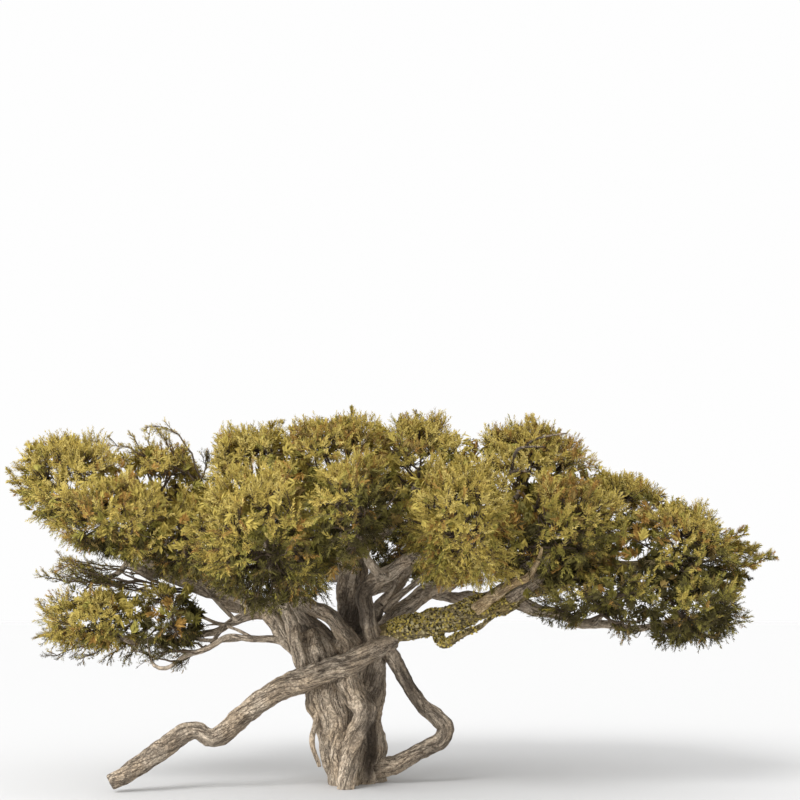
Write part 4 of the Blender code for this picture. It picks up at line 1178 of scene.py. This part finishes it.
def spray_slots(mass, tips, owner, shift, draw):
    """A colour for each spray, as its slot in the leaves' finishes: painted light and shade, with drifts and
    rusty patches.
    """
    up = outward(mass, tips)[:, 2]
    height = (tips[:, 2] - HEIGHT_MIDDLE) / HEIGHT_SPAN
    crease_shade = np.clip(depth_in(mass, tips) - GROOVE_FROM, 0, 0.3)
    light = BY_FACING * up + BY_HEIGHT * height + BY_DRIFT * ripples(tips * DRIFT_PITCH)
    light = light - BY_GROOVE * crease_shade - BY_WELL * hollow(tips) + shift
    light += LIGHT_START + BRIGHTER.get(mass, 0)
    for middle, radii, painted_shade in SHADED:
        light -= painted_shade * bell(tips, middle, radii)
    light += draw.normal(0, LIGHT_SCATTER, len(tips))
    mix = np.searchsorted(-np.array(LEVEL_STEPS), -light)
    rust = ripples(tips * RUST_PITCH + RUST_APART) + RUST_RISE * tips[:, 0]
    mix[(rust > RUST_FROM) & (mix < 3)] = RUSTY_MIX
    chances = np.cumsum(np.array(LEAF_MIX), axis=1)[mix]
    tuft = draw.uniform(0, 1, owner.max() + 1)[owner]
    pick = np.where(draw.uniform(0, 1, len(tips)) < TUFT_ALIKE, tuft, draw.uniform(0, 1, len(tips)))
    return np.minimum((pick[:, None] > chances).sum(axis=1), len(LEAF_COLOURS) - 1)

# The masses grow one by one: twigs, shoots, then leaves. A mass's leaves are one piece. The twigs of all
# masses are one piece and the shoots another. Long sprays and free twigs stand out beyond the skin.

LONG_TIPS = {  # long sprays that stand out beyond the skin of their mass: where their tips are
    "right_far": [(4.96, -0.22, 2.68), (4.62, -0.50, 2.96)],
    "left_far": [(-4.13, -0.30, 3.66), (-3.98, 0.10, 4.06)],
    "left_mid": [(-2.55, 0.40, 4.30), (-2.79, 0.42, 4.24)],
    "top_left": [(-0.98, 0.20, 4.38)],
    "top_centre": [(-0.05, -0.30, 4.43)],
    "top_right_centre": [(0.70, 0.10, 4.42)],
    "top_right": [(2.14, 0.00, 4.38)],
    "left_twigs": [(-3.88, 0.30, 2.45)],
    "low_left": [(-3.82, 0.00, 2.12), (-3.80, 0.05, 1.74)],
    "right_upper": [(3.98, 0.30, 3.28)],
}
FREE_TWIGS = {  # twigs that stand free of their mass's skin: foot, tip, and how far they sag between
    "left_mid": [
        ((-1.88, 0.15, 3.60), (-2.58, 0.15, 4.24), -0.15),
        ((-1.95, 0.20, 3.62), (-3.00, 0.20, 4.11), -0.13),
        ((-2.10, 0.20, 3.66), (-2.40, 0.20, 4.16), -0.08),
        ((-1.95, 0.10, 3.56), (-2.12, 0.10, 4.00), -0.05),
        ((-1.90, 0.10, 3.56), (-1.80, 0.10, 3.84), -0.08),
    ],
    "right_far": [
        ((4.05, -0.20, 2.70), (4.70, -0.20, 2.73), -0.03),
        ((4.05, -0.20, 2.68), (4.52, -0.30, 2.80), -0.02),
        ((4.05, -0.20, 2.62), (4.68, -0.26, 2.58), 0.04),
        ((4.05, -0.20, 2.60), (4.56, -0.18, 2.45), 0.05),
        ((4.05, -0.20, 2.56), (4.50, -0.24, 2.34), 0.05),
    ],
    "low_left": [
        ((-2.60, -0.10, 1.92), (-3.62, -0.20, 1.52), 0.05),
        ((-2.70, -0.05, 1.86), (-3.30, -0.10, 1.46), 0.05),
        ((-2.40, 0.00, 1.88), (-3.00, 0.05, 1.47), 0.04),
        ((-2.30, -0.10, 1.86), (-2.74, -0.15, 1.44), 0.04),
    ],
    "left_twigs": [
        (
            (-1.90 - 0.07 * k, 0.10, 2.26 + 0.012 * k),
            (-3.42 - 0.04 * (k * 5 % 7), 0.1 * (k * 3 % 7), 2.42 + 0.022 * k),
            0.07,
        )
        for k in range(12)
    ],
    "low_left_inner": [
        ((-1.90, -0.35, 1.58), (-2.36, -0.42, 1.52), 0.04),
        ((-1.70, -0.33, 1.62), (-2.30, -0.44, 1.66), 0.03),
        ((-1.95, -0.36, 1.54), (-2.44, -0.36, 1.64), 0.02),
        ((-1.85, -0.30, 1.56), (-2.22, -0.30, 1.58), 0.03),
        ((-1.75, -0.33, 1.64), (-2.06, -0.40, 1.44), 0.05),
        ((-1.80, -0.34, 1.62), (-2.30, -0.30, 1.84), 0.03),
        ((-2.10, -0.38, 1.46), (-2.52, -0.44, 1.58), 0.04),
    ],
}
LONG_SHARE = 0.94  # a long spray's twig stops this share of the way to its tip, and its leaves fill the rest
LONG_SAG = 0.10
ARM_RADII = (0.021, 0.006)  # at its foot and its tip
BRANCH_RADII = (0.0075, 0.003)
FREE_RADII = (0.014, 0.004)
SIDE_RADII = (0.006, 0.003)
SIDE_TWIGS = 7  # side twigs to each free twig
SIDE_LENGTH = 0.25
SHOOT_RADIUS = 0.0028
TWIG_LEAVES = 9  # on each shoot of a twig that stands free and nearly bare
TWIG_LEAF_LENGTH = (0.024, 0.042)
FREE_SHIFT = -0.45  # sparse twigs that stand free bear greener, darker leaves
TIP_SHIFT = 0.45  # and the crown's far tip, which stands free too, is painted lighter, as if it catches the light
INNER_PAINTED_SHADE = -0.42  # the sprays behind the tufts are painted this much darker, as shade
INNER_FIRST = 2  # and take no colour before this one
BARE_MASSES = ("left_twigs",)  # these have no tufts, only twigs that stand free
SPARSE_TWIGS = ("left_twigs", "left_mid", "low_left", "low_left_inner")
THIN_MASSES = ("low_left_inner",)  # these keep only every second tuft

# the twigs' wood: its dark colour is partly its own and partly painted shade, as the twigs stand in the
# crown's shade
twig_wood_and_shade = plain_finish("twig_wood_and_shade", 0.85, (0.10, 0.072, 0.048))


def along_twigs(paths, each, start, end, step):
    """Feet for each side growth along twigs that stand free, their shares of the way, and the way on."""
    owner = np.repeat(np.arange(len(paths)), each)
    share = np.tile(np.linspace(start, end, each), len(paths))
    roots = points_on(paths, owner, share)
    ahead = unit(points_on(paths, owner, share + step) - roots)
    return owner, share, roots, ahead


def side_twigs(paths, draw):
    """Short twigs that point on from the outer half of free twigs, shorter towards the tip."""
    owner, share, roots, ahead = along_twigs(paths, SIDE_TWIGS, 0.45, 0.95, 0.05)
    ways = leaned(ahead, (22, 42), draw)
    size = SIDE_LENGTH * (1.3 - share) * draw.uniform(0.8, 1.2, len(owner))
    return bent_paths(roots, roots + ways * size[:, None], -0.05, 4, draw)


def clad_twigs(paths, each, start, draw):
    """Short shoots that point on along twigs that stand free: roots, tips and owners."""
    owner, share, roots, ahead = along_twigs(paths, each, start, 0.96, 0.04)
    shoots = leaned(ahead, (15, 50), draw) + np.array([0, 0, 0.12])
    size = draw.uniform(0.05, 0.10, len(owner)) * (1.15 - 0.5 * share)
    return roots, roots + unit(shoots) * size[:, None], owner


def spikes(roots, tips, draw):
    """The wood of the shoots: three-sided spikes from roots to tips, as places and triangles."""
    side = square_to(tips - roots, draw)
    other = unit(np.cross(tips - roots, side))
    turns = np.array([0, 2.1, 4.2])
    feet = side[:, None] * np.cos(turns)[:, None] + other[:, None] * np.sin(turns)[:, None]
    places = np.concatenate([roots[:, None] + feet * SHOOT_RADIUS, tips[:, None]], axis=1)
    return places.reshape(-1, 3), repeated(len(roots), 4, [[0, 1, 3], [1, 2, 3], [2, 0, 3], [0, 2, 1]])


def joined(parts):
    """The places and the triangles of several parts as one."""
    starts = np.cumsum([0] + [len(part[0]) for part in parts])
    places = np.vstack([part[0] for part in parts])
    return places, np.vstack([part[1] + start for part, start in zip(parts, starts)])


thick_twigs = []
shoot_twigs = []
for mass in MASSES:
    draw = np.random.default_rng(random.Random(mass).getrandbits(32))
    limbs = limbs_near(mass)
    hub = np.array(hub_of(mass))
    arms = arms_of(mass, limbs)
    arm_paths = bent_paths(np.repeat(hub[None], len(arms), axis=0), arms, 0.06, 6, draw)
    thick_twigs.append(twig_tubes(arm_paths, *ARM_RADII, 5))
    branches, roots, tips, owner = tufts_of(mass, limbs, arms, draw)
    sprays = []
    if mass in THIN_MASSES:
        kept = owner % 2 == 0
        roots, tips, owner = roots[kept], tips[kept], owner[kept]
    if mass not in BARE_MASSES:
        thick_twigs.append(twig_tubes(branches, *BRANCH_RADII, 3))
        slots = spray_slots(mass, tips, owner, 0, draw)
        sprays.append((roots, tips, slots, LEAVES_EACH, LEAF_LENGTH, LEAF_WIDTH))
    free = [(hub, hub + LONG_SHARE * (tip - hub), LONG_SAG) for tip in np.array(LONG_TIPS.get(mass, []))]
    free += FREE_TWIGS.get(mass, [])
    if free:
        feet, ends, sags = (np.array(part) for part in zip(*free))
        free_paths = bent_paths(feet, ends, sags[:, None, None], 9, draw)
        thick_twigs.append(twig_tubes(free_paths, *FREE_RADII, 5))
        sides = side_twigs(free_paths, draw)
        thick_twigs.append(twig_tubes(sides, *SIDE_RADII, 3))
        each, length, shift = LEAVES_EACH, LEAF_LENGTH, TIP_SHIFT
        if mass in SPARSE_TWIGS:
            each, length, shift = TWIG_LEAVES, TWIG_LEAF_LENGTH, FREE_SHIFT
        for paths, shoots, start in ((free_paths, 18, 0.40), (sides, 6, 0.20)):
            roots, tips, owner = clad_twigs(paths, shoots, start, draw)
            slots = spray_slots(mass, tips, owner, shift, draw)
            sprays.append((roots, tips, slots, each, length, LEAF_WIDTH))
    roots = np.vstack([spray[0] for spray in sprays])
    tips = np.vstack([spray[1] for spray in sprays])
    shoot_twigs.append(spikes(roots, tips, draw))
    if mass not in BARE_MASSES:
        roots, tips = inner_sprays(mass, limbs, draw)
        slots = spray_slots(mass, tips, np.arange(len(tips)), INNER_PAINTED_SHADE, draw)
        sprays.append((roots, tips, np.maximum(slots, INNER_FIRST), INNER_EACH, INNER_LENGTH, INNER_WIDTH))
    grown = [leaves_on(mass, *spray, draw) for spray in sprays]
    slots = np.concatenate([part[2] for part in grown])
    leaves = mesh_from("leaves_" + mass, *joined(grown), slots)
    place_piece("leaves_" + mass, leaves, leaf_finishes, ["foliage_" + mass])
all_masses = ["foliage_" + mass for mass in MASSES]
for name, parts in (("twigs", thick_twigs), ("shoots", shoot_twigs)):
    place_piece(name, mesh_from(name, *joined(parts)), [twig_wood_and_shade], all_masses)

# The studio: a pale floor, soft white light from all round, a low sun from the left, in front and above,
# a wide lamp on the left, and a camera that looks at the tree from a little over half its height.

SKY_LIGHT = 1.22
SKY_SEEN = 0.23  # the sky is this much dimmer where the camera looks straight at it
SUN_WAY = (-0.50, -0.80, 0.80)  # from the tree to the sun
LAMP_PLACE = (-9, -9, 3)
LAMP_AIM = (0, 0, 1.2)
CAMERA_PLACE = (0.516, -21.33, 2.6)
CAMERA_RISE = math.atan(163 / 1777.8)  # the camera looks up by this angle

floor_form = bmesh.new()
bmesh.ops.create_circle(floor_form, cap_ends=True, segments=64, radius=60)
floor_mesh = bpy.data.meshes.new("floor")
floor_form.to_mesh(floor_mesh)
floor_form.free()
floor_mesh.materials.append(plain_finish("floor_paint", 0.9, (0.57, 0.57, 0.57)))
floor = bpy.data.objects.new("floor", floor_mesh)
bpy.context.scene.collection.objects.link(floor)

world = bpy.data.worlds.new("studio")
world.use_nodes = True
seen = Shade(world.node_tree).node("ShaderNodeLightPath")
background = world.node_tree.nodes["Background"]
background.inputs["Color"].default_value = (1, 1, 1, 1)
strength = SKY_LIGHT - seen * SKY_SEEN
world.node_tree.links.new(strength.socket, background.inputs["Strength"])
bpy.context.scene.world = world

sun = bpy.data.lights.new("key_light", "SUN")
sun.energy = 2.2
sun.angle = 0.5
sun_holder = bpy.data.objects.new("key_light", sun)
sun_holder.rotation_euler = Vector(SUN_WAY).to_track_quat("Z", "Y").to_euler()
bpy.context.scene.collection.objects.link(sun_holder)

lamp = bpy.data.lights.new("left_lamp", "AREA")
lamp.size = 5
lamp.energy = 600
lamp_holder = bpy.data.objects.new("left_lamp", lamp)
lamp_holder.location = LAMP_PLACE
lamp_holder.rotation_euler = (Vector(LAMP_AIM) - Vector(LAMP_PLACE)).to_track_quat("-Z", "Y").to_euler()
bpy.context.scene.collection.objects.link(lamp_holder)

eye = bpy.data.cameras.new("camera")
eye.lens = 80
eye.sensor_width = 36
camera = bpy.data.objects.new("camera", eye)
camera.location = CAMERA_PLACE
camera.rotation_euler = (math.pi / 2 + CAMERA_RISE, 0, 0)
bpy.context.scene.collection.objects.link(camera)
bpy.context.scene.camera = camera
bpy.context.scene.view_settings.view_transform = "Standard"
